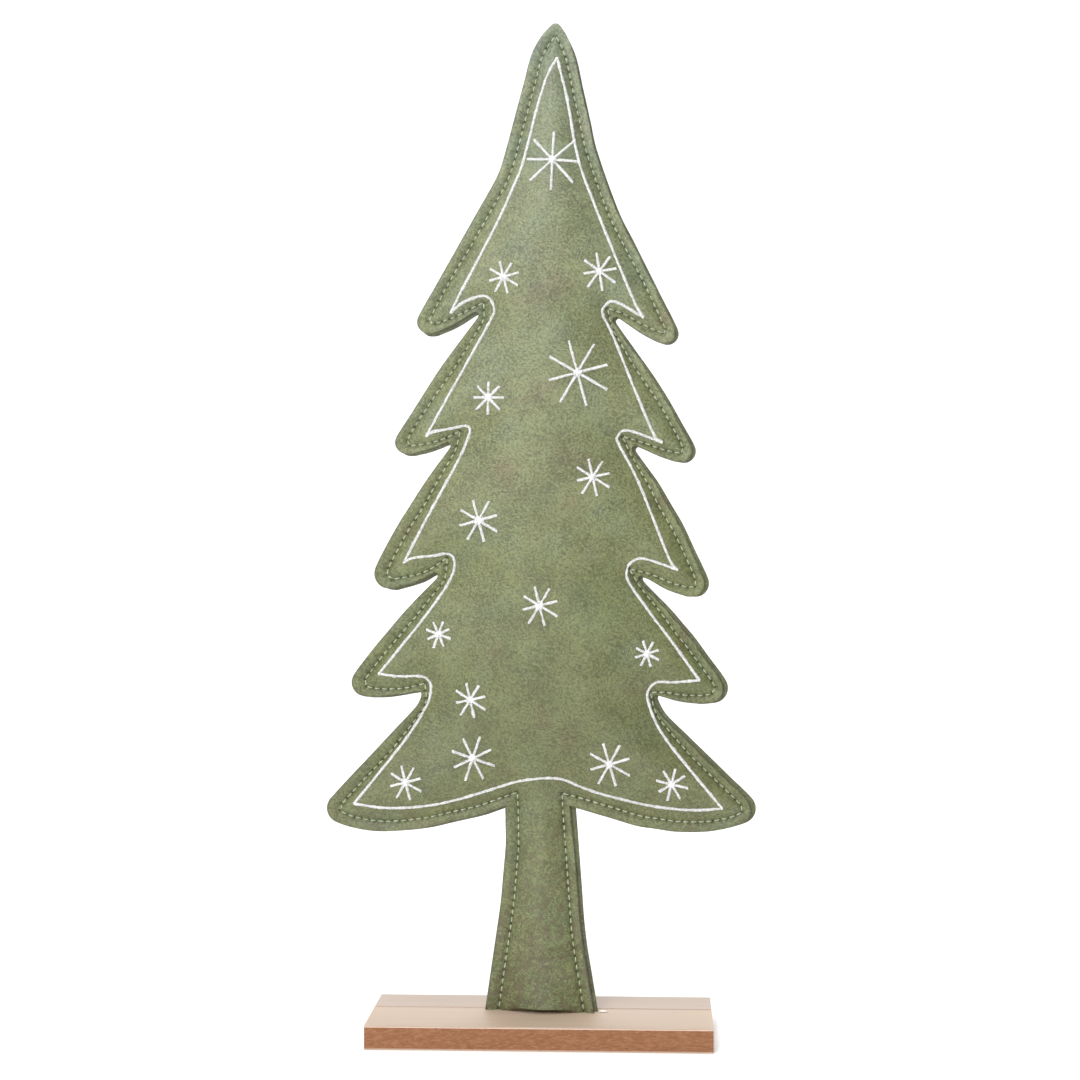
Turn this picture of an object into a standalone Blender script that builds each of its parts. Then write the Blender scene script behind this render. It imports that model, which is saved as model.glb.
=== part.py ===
"""A felt Christmas tree that stands on a small wooden foot.

Two felt sheets, cut from one pattern, are sewn together a little inside their edge. Between them lie two
layers of wadding with a thin stiffening board in the middle. The board's lower end is glued into a saw kerf
that runs the whole length of the foot. The front sheet carries an embroidered outline and fifteen
snowflakes. The foot is a board with a thin veneer on its upper and lower face, and the kerf cuts the upper
one in two strips.

Metres, +Z up, the front of the tree towards -Y. Points of the tree's pattern are complex numbers x + iz,
seen from the front, with z counted from the tree's lower edge.
"""

import cmath
import math

import bmesh
import bpy
import numpy as np
from mathutils import Vector
from mathutils.bvhtree import BVHTree
from mathutils.geometry import delaunay_2d_cdt

# The foot
BASE_WIDTH = 0.150
BASE_DEPTH = 0.060
BASE_HEIGHT = 0.0105
BASE_SHIFT = 0.0008  # the board's middle lies this far right of the tree's middle
VENEER = 0.0005
GLUE_LINE = 0.0003  # between the veneer and the board
KERF_DEPTH = 0.006
KERF_BACK = 0.0053  # the kerf's middle lies this far behind the board's middle

# Clearances between pieces that touch on the real tree
FIT_GAP = 0.0003

# The pads of wadding
PAD_INSET = 0.0058  # how far inside the seam they end
PAD_THINNEST = 0.0004
PAD_FOOT = 0.078  # and how far above the tree's lower edge

# The stiffening board between the sheets: heights above the tree's lower edge, and widths there
CORE_THICKNESS = 0.0015
CORE_HEIGHT = 0.380
CORE_BODY_HEIGHT = 0.160
CORE_NECK_TOP = 0.098
CORE_FOOT_WIDTH = 0.040
CORE_NECK_WIDTH = 0.009
CORE_BODY_WIDTH = 0.030
CORE_TOP_WIDTH = 0.008
CORE_LEAN = 0.006  # its top lies this far right of its foot, as the tree's point does

# The felt
PATTERN_WIDTH = 0.1872
PATTERN_HEIGHT = 0.4354
FELT = 0.0024
SEAM_MARGIN = 0.0045
NOTCH_EASE = 0.0028  # how much nearer to the edge the seam runs where it rounds a notch
NOTCH_FADE = 0.030
SHEET_GAP = 0.0003  # between the two sheets at the seam
EDGE_FLARE = 0.0006  # how far each sheet's free edge opens outside the seam
PUFF = 0.014  # how far the filling would lift a sheet far from any seam
PUFF_REACH = 0.033  # the distance from the seam over which most of that rise comes
TRUNK_AHEAD = 0.0032  # the lower end of the trunk sits this far in front of the kerf's middle
TRUNK_TURN = math.radians(6.0)  # and is turned, its right side to the front
SLIP_AT_FOOT = 0.0030  # how far right of the front sheet the back sheet lies
SLIP_AT_TOP = 0.0006
BACK_DROP = 0.0020  # how far lower the back sheet sits at its left and top

# Roundings of the pattern
TIP_ROUND = 0.0068
NOTCH_ROUND = 0.0014
APEX_ROUND = 0.0025
CLOSE_BEND = 0.012
BEND = 0.030
WIDE_BEND = 0.120
SHARP = 0.0

# The embroidery
OUTLINE_WIDTH = 0.0015
OUTLINE_RAISE = 0.0008
STAR_REACH = 0.0144
STAR_ARM_WIDTH = 0.0012
STAR_ARM_RAISE = 0.0007
STAR_KNOT_RADIUS = 0.0016
STAR_KNOT_RAISE = 0.0007

# A small smear of glue beside the trunk
GLUE_LENGTH = 0.0044
GLUE_WIDTH = 0.0014
GLUE_HEIGHT = 0.0006
GLUE_AHEAD = 0.0062  # in front of the kerf's middle

# How finely the curved pieces are cut into facets
ARC_STEP = math.radians(36.0)
CREASE_ANGLE = math.radians(40.0)  # faces that meet less sharply than this are shaded as one
EDGE_STEP = 0.0150
SEAM_STEP = 0.0030
PAD_STEP = 0.0075
TRUNK_COLUMN = 0.0056
FELT_STEP = 0.0135
OUTLINE_STEP = 0.0090
PROBE_STEP = 0.0015
ROOM_SHARE = 0.50  # evenly spaced points keep this share of their spacing from the pads' outline
MERGE = 1e-7
TIGHT_SHARE = 0.66  # a tip's or a notch's rounding takes at most this much of the shorter edge beside it
BEND_SHARE = 0.32  # and a bend's at most this much
MITRE_SHARE = 0.60  # and a mitred corner reaches at most the width over this
CLEAR_SHARE = 0.97

HALF_PATTERN = PATTERN_WIDTH / 2
FOOT_Z = BASE_HEIGHT + FIT_GAP
KERF_WIDTH = CORE_THICKNESS + 2 * FIT_GAP
PAD_EDGE_ROOM = CORE_THICKNESS / 2 + FIT_GAP + PAD_THINNEST + FIT_GAP

# The pattern's corners, from the point downwards: shares of half the width and of the height, and the
# rounding. Each branch has its tip, the bend of its underside, the notch above the next branch and that
# branch's bend.
APEX_SHARES = (0.090, 1.0042)
LEFT_SHARES = (
    (-0.014, 0.9800, BEND),
    (-0.178, 0.8505, BEND),
    (-0.628, 0.6810, TIP_ROUND),
    (-0.433, 0.6915, BEND),
    (-0.234, 0.7175, NOTCH_ROUND),
    (-0.460, 0.6527, WIDE_BEND),
    (-0.728, 0.5628, TIP_ROUND),
    (-0.554, 0.5668, BEND),
    (-0.384, 0.5804, NOTCH_ROUND),
    (-0.529, 0.5379, WIDE_BEND),
    (-0.691, 0.4834, WIDE_BEND),
    (-0.822, 0.4262, TIP_ROUND),
    (-0.618, 0.4293, BEND),
    (-0.405, 0.4543, NOTCH_ROUND),
    (-0.619, 0.4077, WIDE_BEND),
    (-0.798, 0.3622, WIDE_BEND),
    (-0.940, 0.3205, TIP_ROUND),
    (-0.759, 0.3170, BEND),
    (-0.544, 0.3243, NOTCH_ROUND),
    (-0.562, 0.3110, CLOSE_BEND),
    (-1.060, 0.1965, TIP_ROUND),
    (-0.826, 0.1805, BEND),
    (-0.606, 0.1807, WIDE_BEND),
    (-0.272, 0.1971, BEND),
    (-0.151, 0.2067, SHARP),
    (-0.148, 0.1681, BEND),
    (-0.172, 0.1084, WIDE_BEND),
    (-0.245, 0.0000, SHARP),
)
RIGHT_SHARES = (
    (0.166, 0.9782, BEND),
    (0.305, 0.8415, WIDE_BEND),
    (0.712, 0.6640, TIP_ROUND),
    (0.509, 0.6835, BEND),
    (0.311, 0.7132, NOTCH_ROUND),
    (0.577, 0.6314, WIDE_BEND),
    (0.790, 0.5480, TIP_ROUND),
    (0.591, 0.5606, BEND),
    (0.419, 0.5772, NOTCH_ROUND),
    (0.622, 0.5156, WIDE_BEND),
    (0.836, 0.4155, TIP_ROUND),
    (0.653, 0.4222, BEND),
    (0.526, 0.4375, CLOSE_BEND),
    (0.462, 0.4426, NOTCH_ROUND),
    (0.489, 0.4341, CLOSE_BEND),
    (0.670, 0.3941, WIDE_BEND),
    (0.945, 0.3125, TIP_ROUND),
    (0.711, 0.3112, BEND),
    (0.534, 0.3220, NOTCH_ROUND),
    (0.578, 0.3018, CLOSE_BEND),
    (1.072, 0.1975, TIP_ROUND),
    (0.831, 0.1817, BEND),
    (0.555, 0.1817, WIDE_BEND),
    (0.156, 0.2069, SHARP),
    (0.199, 0.0760, WIDE_BEND),
    (0.258, 0.0000, SHARP),
)

# The embroidered outline: one smooth run from tip to tip, down the left side, along the bottom, up the
# right side.
OUTLINE_RUN_SHARES = (
    (
        (0.090, 0.9648), (0.048, 0.9484), (0.004, 0.9210), (-0.072, 0.8594), (-0.119, 0.8344),
        (-0.199, 0.7964), (-0.385, 0.7212), (-0.415, 0.7085),
    ),
    (
        (-0.415, 0.7085), (-0.358, 0.7185), (-0.276, 0.7251), (-0.232, 0.7230), (-0.210, 0.7129),
        (-0.229, 0.6998), (-0.378, 0.6426), (-0.533, 0.5832),
    ),
    (
        (-0.533, 0.5832), (-0.501, 0.5877), (-0.426, 0.5907), (-0.346, 0.5937), (-0.325, 0.5876),
        (-0.376, 0.5608), (-0.512, 0.5074), (-0.641, 0.4548),
    ),
    (
        (-0.641, 0.4548), (-0.597, 0.4595), (-0.503, 0.4619), (-0.430, 0.4639), (-0.401, 0.4568),
        (-0.419, 0.4386), (-0.535, 0.4016), (-0.761, 0.3416),
    ),
    (
        (-0.761, 0.3416), (-0.667, 0.3393), (-0.561, 0.3393), (-0.523, 0.3343), (-0.514, 0.3251),
        (-0.540, 0.3069), (-0.648, 0.2713), (-0.881, 0.2091),
    ),
    (
        (-0.881, 0.2091), (-0.737, 0.2052), (-0.572, 0.2064), (-0.409, 0.2127), (-0.188, 0.2271),
        (-0.101, 0.2329), (0.009, 0.2364), (0.103, 0.2355), (0.194, 0.2275), (0.303, 0.2195),
        (0.525, 0.2086), (0.714, 0.2044), (0.860, 0.2060),
    ),
    (
        (0.860, 0.2060), (0.637, 0.2642), (0.554, 0.2904), (0.511, 0.3156), (0.516, 0.3257),
        (0.554, 0.3337), (0.638, 0.3338), (0.753, 0.3358),
    ),
    (
        (0.753, 0.3358), (0.630, 0.3731), (0.514, 0.4063), (0.424, 0.4345), (0.413, 0.4469),
        (0.438, 0.4556), (0.498, 0.4586), (0.651, 0.4475),
    ),
    (
        (0.651, 0.4475), (0.610, 0.4601), (0.469, 0.5361), (0.376, 0.5748), (0.372, 0.5824),
        (0.419, 0.5884), (0.580, 0.5762),
    ),
    (
        (0.580, 0.5762), (0.530, 0.5893), (0.354, 0.6819), (0.302, 0.7061), (0.318, 0.7156),
        (0.364, 0.7184), (0.493, 0.7028),
    ),
    (
        (0.493, 0.7028), (0.447, 0.7199), (0.314, 0.7894), (0.243, 0.8286), (0.198, 0.8553),
        (0.166, 0.8859), (0.136, 0.9241), (0.090, 0.9648),
    ),
)

# The snowflakes: place as shares of half the width and of the height, size as a share of the largest one's
# reach, and turn clockwise in degrees. All follow one motif, whose eight arms differ a little in length.
STAR_SHARES = (
    (0.063, 0.8611, 0.77, 3),
    (-0.162, 0.7435, 0.50, -14),
    (0.288, 0.7486, 0.56, -9),
    (0.185, 0.6464, 1.00, -15),
    (-0.235, 0.6218, 0.50, 1),
    (0.255, 0.5413, 0.56, -13),
    (-0.282, 0.4978, 0.65, -15),
    (0.006, 0.4120, 0.59, -14),
    (-0.474, 0.3824, 0.41, -25),
    (0.508, 0.3629, 0.40, -17),
    (-0.323, 0.3163, 0.52, -13),
    (-0.312, 0.2570, 0.69, -26),
    (-0.633, 0.2317, 0.53, -15),
    (0.331, 0.2514, 0.68, -16),
    (0.622, 0.2310, 0.50, -31),
)
STAR_ARM_SHARES = (1.00, 1.01, 0.95, 1.05, 1.05, 1.06, 0.90, 0.98)


def pattern_point(x_share, z_share):
    return complex(x_share * HALF_PATTERN, z_share * PATTERN_HEIGHT)


def unit(step):
    return step / abs(step)


def rounded_corner(before, corner, after, rounding):
    """The arc that rounds a corner of the pattern, or the corner itself where it is sharp."""
    to_before, to_after = before - corner, after - corner
    half_angle = abs(cmath.phase(to_after / to_before)) / 2
    share = TIGHT_SHARE if rounding < CLOSE_BEND else BEND_SHARE
    room = share * min(abs(to_before), abs(to_after))
    tangent = min(rounding / math.tan(half_angle), room)
    if not tangent:
        return [corner]
    start = corner + unit(to_before) * tangent
    end = corner + unit(to_after) * tangent
    centre = corner + unit(unit(to_before) + unit(to_after)) * tangent / math.cos(half_angle)
    sweep = cmath.phase((end - centre) / (start - centre))
    steps = max(1, math.ceil(abs(sweep) / ARC_STEP))
    return [centre + (start - centre) * cmath.exp(1j * sweep * i / steps) for i in range(steps + 1)]


def spaced(line, step):
    """The same line with points added wherever two lie further apart than the step."""
    out = [line[0]]
    for a, b in zip(line, line[1:]):
        count = max(1, math.ceil(abs(b - a) / step))
        out += [a + (b - a) * i / count for i in range(1, count + 1)]
    return out


def sewn_edge():
    """The pattern's edge from the left end of the trunk over the point to its right end."""
    rows = [*reversed(LEFT_SHARES), (*APEX_SHARES, APEX_ROUND), *RIGHT_SHARES]
    corners = [pattern_point(x, z) for x, z, _ in rows]
    line = [corners[0]]
    for i in range(1, len(rows) - 1):
        line += rounded_corner(corners[i - 1], corners[i], corners[i + 1], rows[i][2])
    return spaced(line + [corners[-1]], EDGE_STEP)


def clearance(point, line):
    """Distance from a point to a line of many straight stretches."""
    a = np.array(line[:-1])
    along = np.array(line[1:]) - a
    share = np.clip(((point - a) * along.conj()).real / abs(along) ** 2, 0, 1)
    return float(abs(point - a - along * share).min())


def crossing(a, b, c, d):
    """Where the straight line through a and b meets the one through c and d."""
    first, second = b - a, d - c
    across = (first.conjugate() * second).imag
    return a + first * (((c - a).conjugate() * second).imag / across)


def thinned(line, step):
    """The same line without the points that crowd closer than the step behind another one."""
    out = [line[0]]
    for point in line[1:-1]:
        if min(abs(point - out[-1]), abs(point - line[-1])) >= step:
            out.append(point)
    return out + [line[-1]]


def seam_margin(point):
    """The distance between the seam and the edge, which is least at the notches."""
    rows = [row for row in LEFT_SHARES + RIGHT_SHARES if row[2] == NOTCH_ROUND]
    nearest = min(abs(point - pattern_point(x, z)) for x, z, _ in rows)
    return SEAM_MARGIN - NOTCH_EASE * max(0.0, 1 - nearest / NOTCH_FADE)


def inset(line, extra=0.0):
    """The line that runs inside the sewn edge by the seam's margin and an extra one. It meets in a sharp
    corner where the edge turns too tightly."""
    margins = [seam_margin(point) + extra for point in line]
    moved = []
    for i, point in enumerate(line):
        ahead = unit(line[i + 1] - point) if i + 1 < len(line) else unit(point - line[i - 1])
        behind = unit(point - line[i - 1]) if i else ahead
        halfway = unit(ahead + behind)
        mitre = max(abs((ahead.conjugate() * halfway).real), MITRE_SHARE)
        moved.append(point - 1j * halfway * margins[i] / mitre)
    moved[0] = complex(moved[0].real, line[0].imag)
    moved[-1] = complex(moved[-1].real, line[-1].imag)
    kept = [i for i, point in enumerate(moved) if clearance(point, line) >= CLEAR_SHARE * margins[i]]
    out = []
    for n, i in enumerate(kept):
        out.append(moved[i])
        if n and n + 2 < len(kept) and kept[n + 1] > i + 1:
            j = kept[n + 1]
            corner = crossing(moved[kept[n - 1]], moved[i], moved[j], moved[kept[n + 2]])
            if clearance(corner, line) >= CLEAR_SHARE * margins[i]:
                out.append(corner)
    return out


def inside(points, loop):
    """Which of the points lie inside a closed loop."""
    points = np.asarray(points)
    found = np.zeros(len(points), bool)
    for a, b in zip(loop, loop[1:] + loop[:1]):
        if a.imag != b.imag:
            spans = (a.imag > points.imag) != (b.imag > points.imag)
            lean = (b.real - a.real) / (b.imag - a.imag)
            found ^= spans & (points.real < a.real + (points.imag - a.imag) * lean)
    return found


SEWN_EDGE = sewn_edge()
SEAM = thinned(inset(SEWN_EDGE), SEAM_STEP)
SEAM_FINE = spaced(SEAM, PROBE_STEP)


def half_gap(points):
    """How far each sheet's inner face lies from the plane between the sheets: nearly nothing at the seam, a
    little at the free edge, and rising inside the seam as the filling lifts the felt."""
    points = np.asarray(points)
    a = np.array(SEAM_FINE[:-1])
    b = np.array(SEAM_FINE[1:])
    away = np.maximum(abs(points[:, None] - (a + b) / 2), PROBE_STEP / 2)
    # Every stretch of the seam holds the felt down, a near one by far the most. Along one straight seam this
    # sum gives the plain distance, and between several it blends them with no crease.
    nearness = (abs(b - a) / away**4).sum(axis=1) / (math.pi / 2)
    rise = PUFF * (1 - np.exp(-(nearness ** (-1 / 3)) / PUFF_REACH))
    flare = EDGE_FLARE * np.minimum(away.min(axis=1) / SEAM_MARGIN, 1)
    return SHEET_GAP / 2 + np.where(inside(points, SEAM), rise, flare)


def seam_plane(points):
    """The y of the plane between the sheets: behind the kerf where positive, and zero above the trunk."""
    crotch = LEFT_SHARES[-4][1] * PATTERN_HEIGHT
    share = np.clip(1 - np.asarray(points).imag / crotch, 0, 1)
    return -(TRUNK_AHEAD + np.asarray(points).real * math.tan(TRUNK_TURN)) * share**2


def pad_edge():
    """The outline of the pads, a little inside the seam, above the trunk and only where there is room."""
    clear = [point for point in inset(SEWN_EDGE, PAD_INSET) if point.imag > PAD_FOOT]
    return thinned([point for point in clear if room_at(point) > PAD_EDGE_ROOM], PAD_STEP)


def room_at(point):
    """The least distance from the stiffening board's plane to the inner face of either sheet."""
    return float(half_gap([point])[0] - abs(seam_plane(point)))


def front_slip(point):
    """The front sheet's edge lies left of the pattern by half of what parts the two sheets."""
    return point - slip(point) / 2


def back_slip(point):
    """The back sheet's edge lies right of the pattern, and a little lower at its left and top."""
    height = point.imag / PATTERN_HEIGHT
    drop = BACK_DROP * height * (1 - point.real / HALF_PATTERN) / 2
    return point + slip(point) / 2 - 1j * drop


def slip(point):
    return SLIP_AT_FOOT + (SLIP_AT_TOP - SLIP_AT_FOOT) * point.imag / PATTERN_HEIGHT


PAD_EDGE = pad_edge()


def inner_points():
    """Evenly spaced points inside the pads' outline, and two columns of points up the trunk below it."""
    row_height = FELT_STEP * math.sqrt(3) / 2
    pad_loop = PAD_EDGE + PAD_EDGE[:1]
    out = []
    for row in range(math.ceil(PATTERN_HEIGHT / row_height)):
        z = (row + 1 / 2) * row_height
        if z < PAD_FOOT:
            out += [complex(-TRUNK_COLUMN, z), complex(TRUNK_COLUMN, z)]
            continue
        for column in range(math.ceil(PATTERN_WIDTH / FELT_STEP) + 1):
            spot = complex((column + row % 2 / 2) * FELT_STEP - HALF_PATTERN, z)
            if inside([spot], PAD_EDGE)[0] and clearance(spot, pad_loop) > FELT_STEP * ROOM_SHARE:
                out.append(spot)
    return out


def sheet_net():
    """The flat net both sheets share: triangles with edges along the seam and the pads' outline."""
    foot = spaced([SEWN_EDGE[-1], SEAM[-1], SEAM[0], SEWN_EDGE[0]], EDGE_STEP)
    loop = SEWN_EDGE + foot[1:-1]
    points = loop + SEAM + PAD_EDGE + inner_points()
    links = [(i, (i + 1) % len(loop)) for i in range(len(loop))]
    links += [(len(loop) + i, len(loop) + i + 1) for i in range(len(SEAM) - 1)]
    first = len(loop) + len(SEAM)
    links += [(first + i, first + (i + 1) % len(PAD_EDGE)) for i in range(len(PAD_EDGE))]
    flat = [Vector((point.real, point.imag)) for point in points]
    made = delaunay_2d_cdt(flat, links, [list(range(len(loop)))], 1, MERGE)
    return [complex(*corner) for corner in made[0]], [list(face) for face in made[2]]


def closed_mesh(name, points, faces, front, back):
    """A closed solid over a flat net of faces: y is front at its front skin and back at its back skin."""
    shape = bmesh.new()
    skins = [
        [shape.verts.new((p.real, y, p.imag)) for p, y in zip(points, depths)] for depths in (front, back)
    ]
    rim = {}
    for face in faces:
        shape.faces.new([skins[0][i] for i in face])
        shape.faces.new([skins[1][i] for i in reversed(face)])
        for i, j in zip(face, face[1:] + face[:1]):
            if not rim.pop((j, i), False):
                rim[i, j] = True
    for i, j in rim:
        shape.faces.new([skins[0][j], skins[0][i], skins[1][i], skins[1][j]])
    bmesh.ops.triangulate(shape, faces=shape.faces)
    bmesh.ops.recalc_face_normals(shape, faces=shape.faces)
    mesh = bpy.data.meshes.new(name)
    shape.to_mesh(mesh)
    shape.free()
    return mesh


def material(name, colour, roughness):
    made = bpy.data.materials.new(name)
    made.use_nodes = True
    shader = made.node_tree.nodes["Principled BSDF"]
    shader.inputs["Base Color"].default_value = (*colour, 1.0)
    shader.inputs["Roughness"].default_value = roughness
    shader.inputs["Metallic"].default_value = 0.0
    return made


def add(mesh, parent, finish, location=(0.0, 0.0, 0.0), smooth=False):
    """An object for a finished mesh, under its parent and with its own material."""
    piece = bpy.data.objects.new(mesh.name, mesh)
    bpy.context.scene.collection.objects.link(piece)
    piece.parent = parent
    piece.location = location
    mesh.materials.append(finish)
    if smooth:
        mesh.shade_smooth()
        mesh.set_sharp_from_angle(angle=CREASE_ANGLE)
    return piece


def extruded(name, profile, width):
    """A bar along X from its outline in Y and Z."""
    shape = bmesh.new()
    face = shape.faces.new([shape.verts.new((-width / 2, y, z)) for y, z in profile])
    grown = bmesh.ops.extrude_face_region(shape, geom=[face])["geom"]
    far_end = [corner for corner in grown if isinstance(corner, bmesh.types.BMVert)]
    bmesh.ops.translate(shape, verts=far_end, vec=(width, 0, 0))
    bmesh.ops.recalc_face_normals(shape, faces=shape.faces)
    mesh = bpy.data.meshes.new(name)
    shape.to_mesh(mesh)
    shape.free()
    return mesh


def add_foot(stand):
    """The board with its kerf, and the veneers that face it."""
    front, rear = -BASE_DEPTH / 2, BASE_DEPTH / 2
    kerf_front, kerf_rear = KERF_BACK - KERF_WIDTH / 2, KERF_BACK + KERF_WIDTH / 2
    low = VENEER + GLUE_LINE
    high = BASE_HEIGHT - VENEER - GLUE_LINE
    floor = BASE_HEIGHT - KERF_DEPTH
    wood = material("veneer", (0.72, 0.58, 0.46), 0.5)
    board = [
        (front, low),
        (rear, low),
        (rear, high),
        (kerf_rear, high),
        (kerf_rear, floor),
        (kerf_front, floor),
        (kerf_front, high),
        (front, high),
    ]
    centre = (BASE_SHIFT, 0.0, 0.0)
    fibre = material("fibreboard", (0.40, 0.18, 0.08), 0.8)
    add(extruded("base_board", board, BASE_WIDTH), stand, fibre, centre)
    strips = {
        "base_veneer_front": (front, kerf_front, high + GLUE_LINE),
        "base_veneer_back": (kerf_rear, rear, high + GLUE_LINE),
        "base_veneer_bottom": (front, rear, 0.0),
    }
    for name, (near, far, under) in strips.items():
        profile = [(near, under), (far, under), (far, under + VENEER), (near, under + VENEER)]
        add(extruded(name, profile, BASE_WIDTH), stand, wood, centre)


def add_core(tree):
    """The stiffening board: a wide tongue in the kerf, a neck in the trunk and a long taper in the body."""
    levels = (
        (-KERF_DEPTH, CORE_FOOT_WIDTH),
        (-FIT_GAP, CORE_FOOT_WIDTH),
        (0.0, CORE_NECK_WIDTH),
        (CORE_NECK_TOP, CORE_NECK_WIDTH),
        (CORE_BODY_HEIGHT, CORE_BODY_WIDTH),
        (CORE_HEIGHT, CORE_TOP_WIDTH),
    )
    left, right = [], []
    for z, width in levels:
        middle = CORE_LEAN * max(0.0, z - CORE_BODY_HEIGHT) / (CORE_HEIGHT - CORE_BODY_HEIGHT)
        left.append(complex(middle - width / 2, z))
        right.append(complex(middle + width / 2, z))
    points = left + right
    count = len(levels)
    faces = [[i, i + 1, count + i + 1, count + i] for i in range(count - 1)]
    half = CORE_THICKNESS / 2
    mesh = closed_mesh("core_board", points, faces, [-half] * len(points), [half] * len(points))
    add(mesh, tree, material("hardboard", (0.32, 0.20, 0.11), 0.8))


def add_wadding(tree, points, faces):
    """Two pads that fill the space between the stiffening board and the sheets, on the part of the sheets'
    net that lies inside the pads' outline."""
    middles = [sum(points[i] for i in face) / len(face) for face in faces]
    held = [face for face, filled in zip(faces, inside(middles, PAD_EDGE)) if filled]
    used = sorted({i for face in held for i in face})
    order = {i: n for n, i in enumerate(used)}
    spots = [points[i] for i in used]
    facets = [[order[i] for i in face] for face in held]
    gap = half_gap(spots) - FIT_GAP
    middle = seam_plane(spots)
    flat = np.full(len(spots), CORE_THICKNESS / 2 + FIT_GAP)
    fibre = material("wadding", (0.86, 0.86, 0.83), 0.9)
    add(closed_mesh("wadding_front", spots, facets, middle - gap, -flat), tree, fibre, smooth=True)
    add(closed_mesh("wadding_back", spots, facets, flat, middle + gap), tree, fibre, smooth=True)


def add_felt(tree, points, faces):
    """The front and the back sheet, each as thick as the felt, meeting at the seam."""
    gap = half_gap(points)
    middle = seam_plane(points)
    sewn = [within or clearance(point, SEAM) < MERGE for point, within in zip(points, inside(points, SEAM))]
    felt = material("felt", (0.24, 0.27, 0.15), 0.95)
    front = [point if still else front_slip(point) for point, still in zip(points, sewn)]
    back = [point if still else back_slip(point) for point, still in zip(points, sewn)]
    sheet = closed_mesh("felt_front", front, faces, middle - gap - FELT, middle - gap)
    add(closed_mesh("felt_back", back, faces, middle + gap, middle + gap + FELT), tree, felt, smooth=True)
    return add(sheet, tree, felt, smooth=True)


def surface_reader(sheet, start):
    """A function that gives the y of a sheet's first face behind a start, at a point of the pattern."""
    mesh = sheet.data
    faces = BVHTree.FromPolygons([v.co for v in mesh.vertices], [list(p.vertices) for p in mesh.polygons])

    def depth(point):
        return faces.ray_cast(Vector((point.real, start, point.imag)), Vector((0.0, 1.0, 0.0)))[0].y

    return depth


def laid_on(depth, points, faces):
    """The y of a net laid on the front sheet, and how far each of its corners must rise so that no facet of
    the net cuts into the sheet."""
    laid = [depth(point) for point in points]
    lift = [0.0] * len(points)
    for face in faces:
        for i, j, k in zip(face[:1] * len(face), face[1:], face[2:]):
            edges = (points[j] - points[i], points[k] - points[i], points[k] - points[j])
            count = max(1, math.ceil(max(abs(edge) for edge in edges) / PROBE_STEP))
            proud = 0.0
            for m in range(count + 1):
                for n in range(count + 1 - m):
                    spot = points[i] + (edges[0] * m + edges[1] * n) / count
                    y = laid[i] + ((laid[j] - laid[i]) * m + (laid[k] - laid[i]) * n) / count
                    proud = max(proud, y - depth(spot))
            for corner in (i, j, k):
                lift[corner] = max(lift[corner], proud)
    return laid, lift


def smooth_run(places):
    """A smooth curve through hand-set places, cut into steps."""
    padded = [2 * places[0] - places[1], *places, 2 * places[-1] - places[-2]]
    out = []
    for a, b, c, d in zip(padded, padded[1:], padded[2:], padded[3:]):
        count = math.ceil(abs(c - b) / OUTLINE_STEP)
        square, cube = 2 * a - 5 * b + 4 * c - d, 3 * b - a - 3 * c + d
        for i in range(count):
            t = i / count
            out.append(b + ((c - a) * t + square * t**2 + cube * t**3) / 2)
    return out


def add_outline(tree, depth):
    """The embroidered outline: one closed raised line laid on the front sheet."""
    line = []
    for run in OUTLINE_RUN_SHARES:
        line += smooth_run([pattern_point(*share) for share in run])
    count = len(line)
    rails = [[], []]
    for i, point in enumerate(line):
        behind = unit(point - line[i - 1])
        ahead = unit(line[(i + 1) % count] - point)
        halfway = unit(ahead + behind)
        mitre = max((ahead.conjugate() * halfway).real, MITRE_SHARE)
        for rail, side in zip(rails, (-1, 1)):
            rail.append(point + 1j * side * halfway * OUTLINE_WIDTH / 2 / mitre)
    points = rails[0] + rails[1]
    faces = [[i, (i + 1) % count, count + (i + 1) % count, count + i] for i in range(count)]
    laid, lift = laid_on(depth, points, faces)
    under = [y - rise - FIT_GAP for y, rise in zip(laid, lift)]
    over = [y - OUTLINE_RAISE for y in under]
    thread = material("outline_thread", (0.88, 0.88, 0.86), 0.6)
    add(closed_mesh("embroidered_outline", points, faces, over, under), tree, thread)


def star_net(centre, reach, turn):
    """The flat net of one snowflake: a knot with eight straight arms, each with root, middle and end."""
    half = STAR_ARM_WIDTH / 2
    arms = len(STAR_ARM_SHARES)
    points, faces = [centre], []
    step = 2 * math.pi / arms
    for i, share in enumerate(STAR_ARM_SHARES):
        along = 1j * cmath.exp(-1j * (turn + i * step))
        root = centre + along * cmath.exp(1j * step / 2) * STAR_KNOT_RADIUS
        middle = centre + along * (STAR_KNOT_RADIUS + reach * share) / 2
        end = centre + along * reach * share
        points += [root, middle + 1j * along * half, middle - 1j * along * half]
        points += [end + 1j * along * half, end - 1j * along * half]
    for i in range(arms):
        first = 1 + 5 * i
        after = 1 + 5 * ((i + 1) % arms)
        faces.append([0, first, after])
        faces.append([first, first + 1, first + 2, after])
        faces.append([first + 1, first + 3, first + 4, first + 2])
    return points, faces


def add_star(tree, depth, number, row, thread):
    x_share, z_share, size_share, turn = row
    points, faces = star_net(pattern_point(x_share, z_share), STAR_REACH * size_share, math.radians(turn))
    laid, lift = laid_on(depth, points, faces)
    under = [y - max(lift) - FIT_GAP for y in laid]
    over = [y - STAR_ARM_RAISE for y in under]
    over[0] -= STAR_KNOT_RAISE
    add(closed_mesh(f"snowflake_{number:02d}", points, faces, over, under), tree, thread)


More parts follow.
